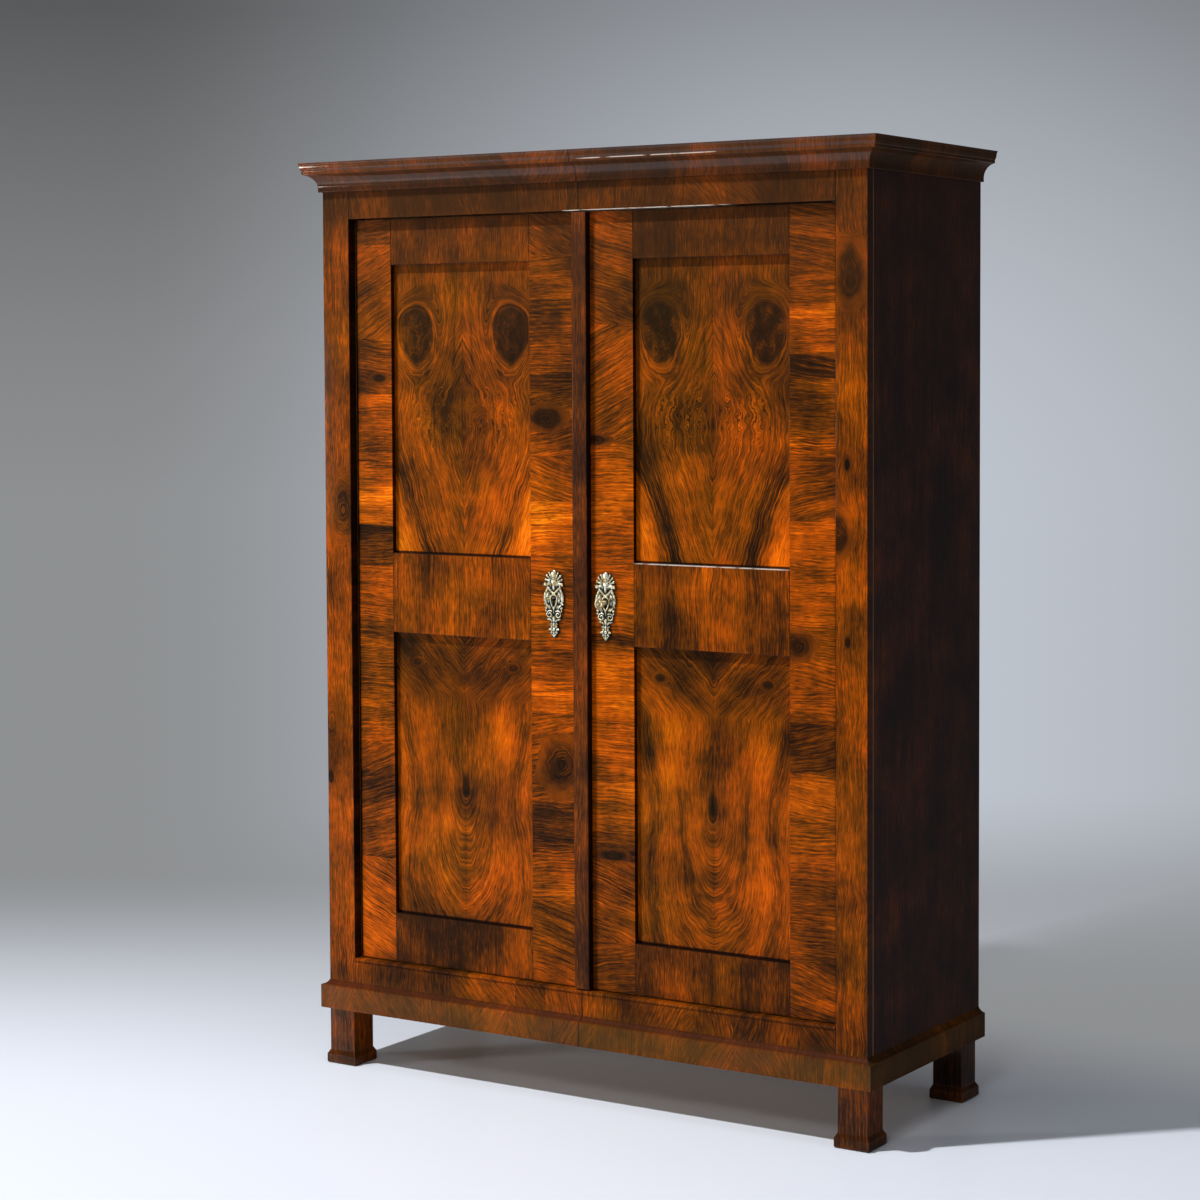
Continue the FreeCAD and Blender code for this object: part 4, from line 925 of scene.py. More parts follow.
class Veneers:
    """All the timber of the cupboard and its finishes."""

    door = {"inner_from": -0.1868, "front": -0.207}
    carcase = {"inner_from": -0.2005, "front": -0.223}
    leading_joints = {"left": (-0.480, -0.130), "right": (0.117, 0.4705)}
    frame_joints = (-0.5785, 0.0, 0.5785)
    faint_ease, fine_ease, soft_ease, broad_ease, round_ease = 0.0004, 0.0006, 0.0008, 0.001, 0.0012

    def lay(self, nodes: Iterable[str], ease: float = fine_ease, **row: object) -> None:
        """Lays a row of veneer on nodes, and wears their arrises.

        Args:
            nodes: The CAD nodes.
            ease: Width of the worn arrises.
            row: The fields of the row, with plain tuples for its leaves, knots and shades.
        """
        for field, kind in (("leaves", Leaf), ("knots", Knot), ("shades", Shade)):
            row[field] = tuple(kind(*sizes) for sizes in row.get(field, ()))
        self.eased(nodes, VeneerRow(**row).build(), ease)

    def even_leaves(
        self, reach: float, pitch: float, light: float, seed: int
    ) -> list[tuple[float, float, float]]:
        """Pieces of about one length whose lean and lightness vary.

        Args:
            reach: How far the row runs to both sides of the middle.
            pitch: About how long each piece is.
            light: Mean lightness.
            seed: Picks the variation.

        Returns:
            (start, lean, light) of each piece.
        """
        dice = random.Random(seed)
        leaves = []
        place = -reach
        while place < reach:
            lean = dice.choice((-38, -14, 0, 8, 30)) + dice.uniform(-6, 6)
            leaves.append((place, lean, light + dice.uniform(-0.05, 0.05)))
            place += pitch * dice.uniform(0.7, 1.3)
        return leaves

    def build_door_stiles(self) -> None:
        """Dresses the stiles of both doors, piece by piece of their veneer from the foot up."""
        stile = {"run": Run.UPRIGHT, "end": 1.79, **self.door}
        self.lay(
            ["left_door_hinge_stile"], name="left_hinge_stile", seed=2.0,
            leaves=(
                (0.230, -24, 0.44), (0.445, 17, 0.31), (0.62, 24, 0.38), (0.69, 2, 0.34),
                (0.89, 0, 0.48), (1.06, 3, 0.30), (1.15, 0, 0.58), (1.30, 2, 0.42),
                (1.42, -5, 0.28), (1.535, 26, 0.40), (1.73, 8, 0.24),
            ),
            knots=((1.458, -0.512, 0.008, 0.020, 0.8),),
            shades=(
                (1.285, 0.025, 0.12), (1.225, 0.035, -0.16), (1.14, 0.025, 0.14),
                (0.925, 0.045, 0.08), (0.80, 0.035, 0.08), (0.60, 0.035, 0.12),
                (0.36, 0.08, -0.08),
            ),
            **stile,
        )
        self.lay(
            ["left_door_lock_stile"], name="left_lock_stile", seed=11.0,
            leaves=(
                (0.230, -12, 0.40), (0.40, 4, 0.50), (0.52, 0, 0.28), (0.60, 10, 0.38),
                (0.78, 2, 0.52), (0.87, 0, 0.44), (1.10, 4, 0.52), (1.21, -16, 0.40),
                (1.30, 12, 0.38), (1.43, 0, 0.38), (1.515, 2, 0.44), (1.56, 0, 0.38),
                (1.70, -30, 0.28),
            ),
            knots=((1.378, -0.092, 0.020, 0.036), (0.678, -0.058, 0.045, 0.040, 0.7)),
            shades=(
                (1.60, 0.03, 0.05), (1.45, 0.03, 0.08), (1.19, 0.05, -0.18), (1.14, 0.03, -0.10),
                (0.99, 0.04, -0.08), (0.90, 0.04, 0.08), (0.835, 0.03, -0.14), (0.50, 0.04, 0.10),
                (0.42, 0.04, -0.10),
            ),
            **stile,
        )
        self.lay(
            ["right_door_lock_stile"], name="right_lock_stile", seed=23.0,
            leaves=(
                (0.230, 8, 0.38), (0.33, -16, 0.42), (0.495, 0, 0.30), (0.55, 0, 0.46),
                (0.70, 2, 0.52), (0.88, 0, 0.42), (1.05, 2, 0.48), (1.20, 0, 0.46),
                (1.33, 25, 0.40), (1.56, -17, 0.38),
            ),
            knots=((1.335, 0.030, 0.010, 0.026), (0.508, 0.068, 0.010, 0.030, 0.9)),
            shades=((0.945, 0.035, 0.12),),
            **stile,
        )
        self.lay(
            ["right_door_hinge_stile"], name="right_hinge_stile", seed=37.0,
            leaves=(
                (0.230, -12, 0.38), (0.335, 0, 0.42), (0.50, 3, 0.48), (0.545, 0, 0.36),
                (0.61, -4, 0.42), (0.70, 14, 0.32), (0.80, 2, 0.44), (0.865, -8, 0.36),
                (0.97, 0, 0.40), (1.09, 0, 0.48), (1.185, 12, 0.36), (1.29, 0, 0.40),
                (1.42, -6, 0.36), (1.50, 0, 0.44), (1.60, 2, 0.38), (1.66, -10, 0.32),
            ),
            knots=((0.95, 0.487, 0.022, 0.030, 0.8),),
            shades=(
                (1.74, 0.04, 0.08), (1.629, 0.022, 0.08), (1.569, 0.035, -0.12),
                (1.482, 0.05, 0.10), (1.335, 0.03, -0.10),
            ),
            **stile,
        )

    def build_door_rails(self) -> None:
        """Dresses the rails of both doors."""
        rail = {"run": Run.SIDEWAYS, **self.door}
        rail_length = 0.45
        outer_rails = (
            ("left", "top", ((-0.526, 0.26), (-0.39, 0.29), (-0.27, 0.26), (-0.2, 0.29))),
            ("left", "bottom", ((-0.526, 0.27), (-0.345, 0.25), (-0.205, 0.36))),
            (
                "right", "top",
                ((0.07, 0.26), (0.2, 0.19), (0.215, 0.30), (0.26, 0.27), (0.33, 0.23)),
            ),
            ("right", "bottom", ((0.07, 0.24), (0.2, 0.28), (0.297, 0.34), (0.36, 0.23))),
        )
        for number, (side, level, leaves) in enumerate(outer_rails):
            node = f"{side}_door_{level}_rail"
            self.lay(
                [node], name=node, leaves=[(start, 0, light) for start, light in leaves],
                end=leaves[0][0] + rail_length, seed=41.0 + 2 * number, bold=0.2,
                joints=self.leading_joints[side], **rail,
            )
        left_shades = (
            (-0.468, 0.018, 0.08), (-0.398, 0.032, 0.12), (-0.305, 0.07, -0.10),
            (-0.208, 0.035, 0.12), (-0.165, 0.02, 0.08),
        )
        right_shades = (
            (0.13, 0.02, 0.07), (0.198, 0.035, 0.12), (0.285, 0.08, -0.10), (0.395, 0.035, 0.12),
            (0.45, 0.02, 0.08),
        )
        for side, leaf, end, seed, shades, rubbed in (
            ("left", (-0.53, 0, 0.39), -0.08, 53.0, left_shades, ()),
            ("right", (0.07, 0, 0.35), 0.53, 59.0, right_shades, (1.0931, 0.10, 0.49)),
        ):
            self.lay(
                [f"{side}_door_middle_rail"], name=f"{side}_middle_rail", leaves=(leaf,), end=end,
                shades=shades, seed=seed, bold=0.12, joints=self.leading_joints[side],
                rubbed=rubbed, **rail,
            )

    def build_panels(self) -> None:
        """Dresses the panels of both doors and the closing strip."""
        for side, centre, upper_light, lower_light in (
            ("left", -0.305, 0.39, 0.44), ("right", 0.2935, 0.35, 0.41)
        ):
            upper = EyedFigure(f"{side}_upper_panel", centre, upper_light, centre + 4)
            lower = HourglassFigure(f"{side}_lower_panel", centre, lower_light, centre + 9)
            self.dress(f"{side}_door_upper_panel", upper.build())
            self.dress(f"{side}_door_lower_panel", lower.build())
        strip = PlainWalnut("closing_strip", 0.31, 61.0, bold=0.25, dull=0.25, front=-0.222)
        self.eased(["closing_strip"], strip.build(), self.faint_ease)

    def build_front(self) -> None:
        """Dresses the carcase's stiles and rails."""
        stile = {"run": Run.UPRIGHT, "end": 1.90, **self.carcase}
        foot, upright = 0.10, 90
        self.lay(
            ["stile_left"], name="left_stile", leaves=((foot, upright, 0.40),), seed=71.0,
            bold=0.25,
            knots=(
                (1.185, -0.598, 0.052, 0.026, 0.6), (0.73, -0.635, 0.035, 0.018, 0.1),
                (0.612, -0.638, 0.014, 0.007),
            ),
            shades=((0.20, 0.22, 0.10), (1.10, 0.30, -0.05), (1.80, 0.30, 0.06)),
            **stile,
        )
        self.lay(
            ["stile_right"], name="right_stile", leaves=((foot, upright, 0.39),), seed=73.0,
            bold=0.22,
            knots=(
                (1.655, 0.609, 0.052, 0.026, 0.9), (1.17, 0.583, 0.036, 0.022, 0.7),
                (1.297, 0.603, 0.012, 0.006), (0.962, 0.604, 0.010, 0.006),
            ),
            shades=((0.20, 0.20, 0.05), (1.42, 0.16, -0.05), (1.80, 0.26, 0.05)),
            **stile,
        )
        rail = {"run": Run.SIDEWAYS, "end": 0.60, "joints": self.frame_joints}
        self.lay(
            ["frieze_left", "frieze_right"], name="frieze", seed=79.0, bold=0.2,
            leaves=self.even_leaves(0.60, 0.125, 0.24, 21), rubbed=(1.7905, -0.06, 0.36),
            **rail, **self.carcase,
        )
        self.lay(
            ["bottom_rail_left", "bottom_rail_right"], self.faint_ease, name="bottom_rail",
            leaves=self.even_leaves(0.60, 0.085, 0.31, 23), seed=83.0, bold=0.3,
            inner_from=self.carcase["inner_from"], **rail,
        )

    def build_mouldings(self) -> None:
        """Dresses the cornice, the plinth moulding and the legs."""
        self.lay(
            ["cornice_front_left", "cornice_front_right"], self.soft_ease, name="cornice_front",
            run=Run.SIDEWAYS, leaves=self.even_leaves(0.70, 0.15, 0.30, 27), end=0.70, seed=89.0,
            bold=0.25, gloss=0.5, rubbed=(1.8895, 0.0, 0.36), joints=(0.0,),
        )
        self.lay(
            ["plinth_front_left", "plinth_front_right"], self.broad_ease, name="plinth_front",
            run=Run.SIDEWAYS, leaves=self.even_leaves(0.68, 0.10, 0.36, 29), end=0.68, seed=97.0,
            bold=0.3, gloss=0.12, dark_above=0.169, joints=(0.0,),
        )
        for kind, seed, light in (("cornice", 31, 0.16), ("plinth", 33, 0.18)):
            self.lay(
                [f"{kind}_side_left", f"{kind}_side_right"], self.soft_ease, name=f"{kind}_side",
                run=Run.DEEP, leaves=self.even_leaves(0.28, 0.13, light, seed), end=0.28,
                seed=float(seed),
            )
        names = [f"leg_{end}_{side}" for end in ("front", "back") for side in ("left", "right")]
        legs = PlainWalnut("leg_walnut", 0.25, 101.0, gloss=0.2)
        self.eased(names, legs.build(), self.round_ease)

    def build_boards(self) -> None:
        """Dresses the side boards and everything made of plain softwood or beech."""
        sides = PlainWalnut(
            "side_walnut", 0.20, 103.0, inner_from=0.6243, gloss=0.06, dull=0.6
        )
        self.eased(["side_left", "side_right"], sides.build())
        upright, level = Softwood("z").build(), Softwood("x").build()
        self.eased(["back_boards"], upright, self.broad_ease)
        level_nodes = (
            "bottom_board_left", "bottom_board_right", "top_board_left", "top_board_right",
            "base_back_rails", "centre_battens", "hat_shelf", "shelf_battens",
        )
        self.eased(level_nodes, level)
        self.eased(["hanging_rail", "rail_cups"], TurnedBeech().build(), self.soft_ease)

    def eased(
        self, nodes: Iterable[str], material: bpy.types.Material, ease: float = fine_ease
    ) -> None:
        """Gives nodes worn arrises and a finish."""
        EasedNodes(tuple(nodes), material, ease).build()

    def dress(self, node: str, material: bpy.types.Material) -> None:
        """Gives a CAD node that stays as it is its finish."""
        item = frame["nodes"][node]
        item.data.materials.clear()
        item.data.materials.append(material)
        LOG.info("%s: dressed", node)

    def build(self) -> None:
        """Dresses all the timber."""
        self.build_boards()
        self.build_front()
        self.build_mouldings()
        self.build_door_stiles()
        self.build_door_rails()
        self.build_panels()


def settled(mesh: bpy.types.Mesh, voxel: float, rounds: int) -> bpy.types.Object:
    """Melts overlapping lumps into one smooth cast shape.

    Args:
        mesh: The lumps, in the row frame.
        voxel: The finest detail kept, in metres.
        rounds: How often the surface is smoothed.

    Returns:
        An object, not yet in the scene's pieces, with the live modifiers that do it.
    """
    item = bpy.data.objects.new(f"raw_{mesh.name}", mesh)
    bpy.context.scene.collection.objects.link(item)
    melt = item.modifiers.new("melt", "REMESH")
    melt.mode = "VOXEL"
    melt.voxel_size = voxel
    melt.use_smooth_shade = True
    soften = item.modifiers.new("soften", "SMOOTH")
    soften.factor = 0.5
    soften.iterations = rounds
    return item


def applied(item: bpy.types.Object, name: str) -> bpy.types.Mesh:
    """Takes the finished mesh of an object with modifiers, and removes the object."""
    ready = item.evaluated_get(bpy.context.evaluated_depsgraph_get())
    mesh = bpy.data.meshes.new_from_object(ready)
    mesh.name = name
    bpy.data.objects.remove(item)
    return mesh


def raise_face(
    shape: bmesh.types.BMesh, outline: Sequence[bmesh.types.BMVert], height: float
) -> None:
    """Fills an outline and raises it towards the front into a closed slab.

    Args:
        shape: The mesh that holds the outline.
        outline: The outline's vertices in order.
        height: How far it is raised, in metres.
    """
    grown = bmesh.ops.extrude_face_region(shape, geom=[shape.faces.new(outline)])
    front = [item for item in grown["geom"] if isinstance(item, bmesh.types.BMVert)]
    bmesh.ops.translate(shape, verts=front, vec=(0, -height, 0))
    bmesh.ops.recalc_face_normals(shape, faces=shape.faces)


@dataclass(frozen=True)
class Lump:
    """A rounded lump of relief, in millimetres from the plate's centre.

    Attributes:
        across: Its place to the right; lumps off the centre line have a twin on the left.
        up: Its place upwards.
        half_length: Half its length.
        half_width: Half its width.
        height: How far it stands out from the door.
        turn: Its long way, in degrees clockwise from upright.
    """

    across: float
    up: float
    half_length: float
    half_width: float
    height: float
    turn: float = 0.0


@dataclass(frozen=True)
class Strand:
    """A rounded strand of relief, in millimetres from the plate's centre.

    Attributes:
        points: The points that it runs through, to the right and upwards.
        start_radius: Its radius at the first point.
        end_radius: Its radius at the last one.
        height: How far it stands out from the door.
        pitch: Distance between the lumps that it is made of.
    """

    points: tuple[tuple[float, float], ...]
    start_radius: float
    end_radius: float
    height: float

    pitch = 0.9

    def lumps(self) -> list[Lump]:
        """Round lumps close together along the strand."""
        made = []
        total = sum(math.dist(a, b) for a, b in zip(self.points, self.points[1:]))
        gone = 0.0
        for start, end in zip(self.points, self.points[1:]):
            length = math.dist(start, end)
            steps = max(1, round(length / self.pitch))
            for step in range(steps):
                share = step / steps
                place = [a + (b - a) * share for a, b in zip(start, end)]
                whole = (gone + length * share) / total
                radius = self.start_radius + (self.end_radius - self.start_radius) * whole
                made.append(Lump(place[0], place[1], radius, radius, self.height))
            gone += length
        return made


def scroll(
    centre: tuple[float, float], start_angle: float, turns: float, outer: float, inner: float
) -> tuple[tuple[float, float], ...]:
    """Points of a spiral that winds in.

    Args:
        centre: Its eye.
        start_angle: Where its outer end is, in degrees anticlockwise from the right.
        turns: How far it winds, clockwise where positive.
        outer: Radius of its outer end.
        inner: Radius of its inner end.

    Returns:
        The points, from the outer end.
    """
    steps = max(6, round(abs(turns) * 22))
    points = []
    for step in range(steps + 1):
        share = step / steps
        angle = math.radians(start_angle - 360 * turns * share)
        radius = outer + (inner - outer) * share
        points.append((centre[0] + radius * math.cos(angle), centre[1] + radius * math.sin(angle)))
    return tuple(points)


@dataclass(frozen=True)
class CastPlate:
    """An escutcheon: leaves and scrolls in cast relief round a keyhole.

    Attributes:
        node: The CAD node that it stands for.
        centre: Its centre on the door, in metres: across and up.
        seat: Depth of the door's front, in metres.
        base_height: Thickness of the flat ground, in millimetres as all that follows.
        keyhole_rise: The keyhole's centre over the plate's.
        keyhole_radius: Radius of its round part.
        slot_half_width: Half the width of the slot under that.
        slot_drop: The slot's lower end, under the keyhole's centre.
        cut_reach: How far the keyhole's cut goes before and behind the door's front, in metres.
        widen: How much wider the cast lumps are than drawn.
        lengthen: How much longer they are.
        edge: Outline of the ground's right half, from the top.
        lumps: The relief's lumps.
        strands: Its strands and scrolls.
        rim: The drop-shaped rim round the keyhole.
    """

    node: str
    centre: tuple[float, float]
    seat: float = -0.207
    base_height: float = 2.5
    keyhole_rise: float = 8.0
    keyhole_radius: float = 3.3
    slot_half_width: float = 1.9
    slot_drop: float = 14.0
    cut_reach: float = 0.01
    widen: float = 1.08
    lengthen: float = 1.03

    edge = (
        (0, 68), (5, 66), (8, 61), (13, 58), (16, 51), (20, 44), (20, 36), (16, 30), (21, 22),
        (23.5, 11), (22.5, 1), (19, -6), (19, -14), (16, -22), (14, -27), (14, -32), (9, -37),
        (8.5, -44), (12, -49), (12, -56), (8, -62), (4, -67), (0, -68),
    )
    lumps = tuple(Lump(*sizes) for sizes in (
        (0, 60.5, 8.0, 7.0, 5.6), (0, 51.5, 2.6, 5.0, 4.6),
        (7.4, 56.5, 8.0, 2.3, 4.6, 26), (11.4, 52.0, 7.6, 2.3, 4.6, 46),
        (12.8, 46.2, 7.6, 2.5, 4.6, 70), (13.2, 40.2, 7.4, 2.9, 4.8, 96),
        (10.4, 62.6, 2.8, 2.6, 4.8), (16.4, 56.6, 2.9, 2.7, 4.8),
        (19.3, 49.0, 3.1, 2.9, 5.0), (20.0, 38.8, 4.2, 4.2, 5.2),
        (0, 43.0, 8.0, 4.4, 5.6), (3.8, 45.0, 6.6, 2.2, 5.0, 16),
        (0, 33.5, 7.5, 3.2, 4.8),
        (17.0, 27.0, 7.0, 3.2, 4.6, -28), (20.6, 19.6, 6.6, 3.2, 4.8, -14),
        (21.2, 11.0, 6.4, 3.4, 5.0, 4), (19.4, 3.6, 6.0, 3.2, 4.6, 22),
        (14.0, 18.5, 8.2, 2.8, 4.6, -16), (13.4, 7.0, 7.2, 2.6, 4.4, 10),
        (23.6, 15.4, 2.0, 1.7, 4.6), (23.4, 6.6, 2.0, 1.7, 4.6),
        (21.6, -0.6, 2.3, 2.2, 4.8),
        (15.6, -3.6, 5.6, 2.6, 4.6, 40), (12.2, -6.8, 6.6, 2.2, 4.4, 30),
        (18.6, -8.6, 3.6, 2.6, 4.8, 66), (19.0, -14.0, 2.6, 2.4, 4.8),
        (0, -12.2, 2.4, 2.2, 4.8), (0, -17.0, 2.6, 1.6, 4.4),
        (0, -30.5, 6.6, 3.6, 5.0), (6.0, -33.5, 5.4, 2.2, 4.4, 38),
        (11.4, -31.6, 3.8, 2.3, 4.6, 72), (14.6, -30.6, 2.0, 2.0, 4.6),
        (0, -42.0, 6.6, 3.2, 4.6), (5.2, -41.6, 6.0, 2.0, 4.2, 8),
        (8.6, -41.0, 2.0, 1.8, 4.4),
        (0, -51.8, 3.6, 3.6, 5.6), (5.6, -46.6, 3.6, 2.5, 4.8, 40),
        (8.6, -51.6, 4.0, 2.7, 4.8, 90), (6.2, -57.0, 3.8, 2.6, 4.8, 140),
        (11.6, -51.8, 1.9, 1.9, 4.8), (0, -58.0, 3.2, 2.4, 4.8),
        (0, -63.8, 4.4, 3.4, 4.8), (4.2, -61.8, 3.2, 2.0, 4.4, 30),
        (0, 7.0, 11.0, 6.4, 3.7), (10.6, 13.0, 12.0, 3.4, 3.9, -4),
        (17.4, 14.0, 12.0, 3.4, 4.0, -8), (7.0, 25.0, 6.0, 4.4, 3.9, -30),
        (9.0, -6.0, 8.0, 3.4, 3.9, 30), (6.0, -24.0, 8.0, 4.6, 3.8, 10),
        (8.0, 40.0, 9.0, 5.4, 3.9, 20), (0, -46.5, 6.0, 4.6, 3.8),
    ))
    strands = (
        Strand(((-15, 33), (-11, 30), (-6, 25.5), (-1, 22), (4, 20.5)), 2.4, 1.9, 5.0),
        Strand(((11, 31.5), (15, 34), (14, 38)), 2.0, 1.4, 4.6),
        Strand(scroll((10.2, -21.4), 128, 1.35, 8.2, 2.0), 1.7, 1.3, 4.8),
        Strand(scroll((20.2, 38.8), 200, 1.0, 4.2, 1.4), 1.0, 0.9, 6.2),
    )
    rim = Strand(
        tuple(
            (
                10.4 * math.sin(math.radians(angle)) * math.cos(math.radians(angle / 2)),
                4.8 + 14.0 * math.cos(math.radians(angle)),
            )
            for angle in range(0, 181, 9)
        ),
        1.7, 1.7, 5.4,
    )

    def stand(
        self, shape: bmesh.types.BMesh, ball: bpy.types.Mesh, lump: Lump, mirror: int
    ) -> None:
        """Adds one lump, or its twin where mirror is -1."""
        place = Vector((mirror * lump.across, -lump.height / 2, lump.up)) * MM
        turn = Matrix.Rotation(math.radians(mirror * lump.turn), 4, "Y")
        width, length = lump.half_width * self.widen, lump.half_length * self.lengthen
        size = Vector((width, lump.height / 2, length)) * MM
        copy = ball.copy()
        copy.transform(Matrix.Translation(place) @ turn @ Matrix.Diagonal(size).to_4x4())
        shape.from_mesh(copy)
        bpy.data.meshes.remove(copy)

    def relief(self) -> bpy.types.Mesh:
        """The flat ground and all the lumps on it, about the plate's centre."""
        shape = bmesh.new()
        right = [shape.verts.new((u * MM, 0, v * MM)) for u, v in self.edge]
        left = [shape.verts.new((-u * MM, 0, v * MM)) for u, v in reversed(self.edge[1:-1])]
        raise_face(shape, right + left, self.base_height * MM)
        lumps = list(self.lumps)
        for strand in (*self.strands, self.rim):
            lumps += strand.lumps()
        ball = bmesh.new()
        bmesh.ops.create_uvsphere(ball, u_segments=12, v_segments=8, radius=1.0)
        round_mesh = mesh_from("ball", ball)
        for lump in lumps:
            self.stand(shape, round_mesh, lump, 1)
            if lump.across:
                self.stand(shape, round_mesh, lump, -1)
        return mesh_from(self.node, shape)

    def keyhole(self) -> bpy.types.Object:
        """The solid that is cut out: a round hole with a slot under it."""
        shape = bmesh.new()
        half = math.asin(self.slot_half_width / self.keyhole_radius)
        angles = [half + (2 * math.pi - 2 * half) * step / 28 for step in range(29)]
        outline = [
            (-self.keyhole_radius * math.sin(angle), -self.keyhole_radius * math.cos(angle))
            for angle in angles
        ]
        outline += [(side * self.slot_half_width, -self.slot_drop) for side in (1, -1)]
        rim = [
            shape.verts.new((across * MM, self.cut_reach, (up + self.keyhole_rise) * MM))
            for across, up in outline
        ]
        raise_face(shape, rim, 2 * self.cut_reach)
        tool = bpy.data.objects.new("keyhole_tool", mesh_from("keyhole_tool", shape))
        bpy.context.scene.collection.objects.link(tool)
        return tool

    def build(self, material: bpy.types.Material) -> None:
        """Makes the plate and lays it on the door.

        Args:
            material: Its finish.
        """
        item = settled(self.relief(), voxel=0.00045, rounds=2)
        tool = self.keyhole()
        hole = item.modifiers.new("keyhole", "BOOLEAN")
        hole.operation = "DIFFERENCE"
        hole.object = tool
        hole.solver = "MANIFOLD"
        mesh = applied(item, f"relief_{self.node}")
        bpy.data.objects.remove(tool)
        shape = bmesh.new()
        shape.from_mesh(mesh)
        bmesh.ops.translate(
            shape, verts=shape.verts, vec=(self.centre[0], self.seat, self.centre[1])
        )
        shape.to_mesh(mesh)
        shape.free()
        new_piece(f"relief_{self.node}", mesh, [self.node], material)


@dataclass(frozen=True)
class OrnateKey:
    """The key: a pierced oval bow, a collared shank and a bit.

    Attributes:
        across: The axis's distance from the centre line, in metres.
        level: The axis's height.
        bow_centre: Depth of the bow's centre.
        tip: Depth of the shank's far end.
        bow: The bow's outer ring: its radius, its wire's and its stretch in depth.
        eyelet: The same of the two small rings in the bow.
        eyelet_rise: How far these stand above and below the axis.
        bead_radius: Radius of the beads round the bow.
        bead_reach: Their distance from the bow's centre, in depth and in height.
        bit: Thickness, depth and height of the bit.
        profile: Depth and radius along the shank and its collars.
    """

    across: float = 0.0525
    level: float = 1.013
    bow_centre: float = -0.234
    tip: float = -0.1693
    bow: tuple[float, float, float] = (0.0092, 0.0017, 1.34)
    eyelet: tuple[float, float, float] = (0.0033, 0.0010, 1.3)
    eyelet_rise: float = 0.0042
    bead_radius: float = 0.0024
    bead_reach: tuple[float, float] = (0.0112, 0.0086)
    bit: tuple[float, float, float] = (0.0028, 0.007, 0.013)
    profile = (
        (-0.2235, 0.0), (-0.2230, 0.0030), (-0.2210, 0.0044), (-0.2195, 0.0034), (-0.2185, 0.0034),
        (-0.2178, 0.0045), (-0.2165, 0.0045), (-0.2158, 0.0032), (-0.2145, 0.0030),
    )

    def spun(
        self, shape: bmesh.types.BMesh, verts: list, centre: Sequence[float], axis: Sequence[float]
    ) -> None:
        """Spins a chain or ring of vertices once round an axis."""
        edges = {edge for vert in verts for edge in vert.link_edges}
        bmesh.ops.spin(
            shape, geom=verts + list(edges), cent=centre, axis=axis, dvec=(0, 0, 0),
            angle=math.tau, steps=36, use_merge=True, use_duplicate=False,
        )

    def add_shank(self, shape: bmesh.types.BMesh) -> None:
        """Adds the shank and its collars."""
        points = (*self.profile, (self.tip - 0.0004, 0.0030), (self.tip, 0.0026), (self.tip, 0.0))
        chain = [shape.verts.new((self.across + radius, y, self.level)) for y, radius in points]
        for first, second in zip(chain, chain[1:]):
            shape.edges.new((first, second))
        self.spun(shape, chain, (self.across, 0, self.level), (0, 1, 0))

    def add_ring(
        self, shape: bmesh.types.BMesh, rise: float, radius: float, wire: float, stretch: float
    ) -> None:
        """Adds a ring of round wire that stands in the bow's plane.

        Args:
            shape: The mesh that it is added to.
            rise: Height of its centre over the axis.
            radius: Radius to the middle of the wire.
            wire: Radius of the wire.
            stretch: Its length in depth over its height.
        """
        middle = Vector((self.across, self.bow_centre, self.level + rise))
        made = bmesh.ops.create_circle(
            shape, cap_ends=False, segments=14, radius=wire,
            matrix=Matrix.Translation(middle + Vector((0, 0, radius)))
            @ Matrix.Rotation(math.radians(90), 4, "Y")
            @ Matrix.Rotation(math.radians(90), 4, "X"),
        )
        before = set(shape.verts) - set(made["verts"])
        self.spun(shape, made["verts"], middle, (1, 0, 0))
        fresh = [vert for vert in shape.verts if vert not in before]
        bmesh.ops.scale(
            shape, verts=fresh, vec=(1.0, stretch, 1.0), space=Matrix.Translation(-middle)
        )

    def build(self, material: bpy.types.Material) -> None:
        """Makes the key.

        Args:
            material: Its finish.
        """
        shape = bmesh.new()
        self.add_shank(shape)
        self.add_ring(shape, 0.0, *self.bow)
        for angle in map(math.radians, range(20, 360, 40)):
            depth = self.bow_centre + self.bead_reach[0] * math.cos(angle)
            height = self.level + self.bead_reach[1] * math.sin(angle)
            bmesh.ops.create_uvsphere(
                shape, u_segments=12, v_segments=8, radius=self.bead_radius,
                matrix=Matrix.Translation((self.across, depth, height)),
            )
        for rise in (-self.eyelet_rise, self.eyelet_rise):
            self.add_ring(shape, rise, *self.eyelet)
        bit = Vector(self.bit)
        bmesh.ops.create_cube(
            shape, size=1.0,
            matrix=Matrix.Translation((self.across, self.tip - bit.y / 2, self.level - bit.z / 2))
            @ Matrix.Diagonal(bit).to_4x4(),
        )
        bmesh.ops.recalc_face_normals(shape, faces=shape.faces)
        item = settled(mesh_from("key", shape), voxel=0.00035, rounds=1)
        new_piece("bowed_key", applied(item, "bowed_key"), ["key"], material)


class Fittings:
    """The escutcheons and the key."""

    plates = (("left_escutcheon", -0.072), ("right_escutcheon", 0.0525))
    level = 1.005

    def build(self) -> None:
        """Makes both plates and the key, whose metal has no dark hollows."""
        gilt = CastMetal("cast_relief", front=-0.2118, back=-0.2101).build()
        for node, across in self.plates:
            CastPlate(node, (across, self.level)).build(gilt)
        pale = "eee2b8"
        bright = CastMetal(
            "key_metal", front=-0.3, back=0.1, pale=pale, warm="cdb673", dark=pale, metallic=0.3
        )
        OrnateKey().build(bright.build())


class Ironwork:
    """Lock, bolts and pivots."""

    nodes = (
        "lock_case", "lock_bolt", "lock_keep", "upper_bolt", "upper_bolt_guide", "lower_bolt",
        "lower_bolt_guide", "joining_bolts", "pivot_sockets", "left_door_pivots",
        "right_door_pivots",
    )
    ease = 0.0003

    def build(self) -> None:
        """Dresses the iron pieces."""
        EasedNodes(self.nodes, WroughtIron().build(), self.ease).build()


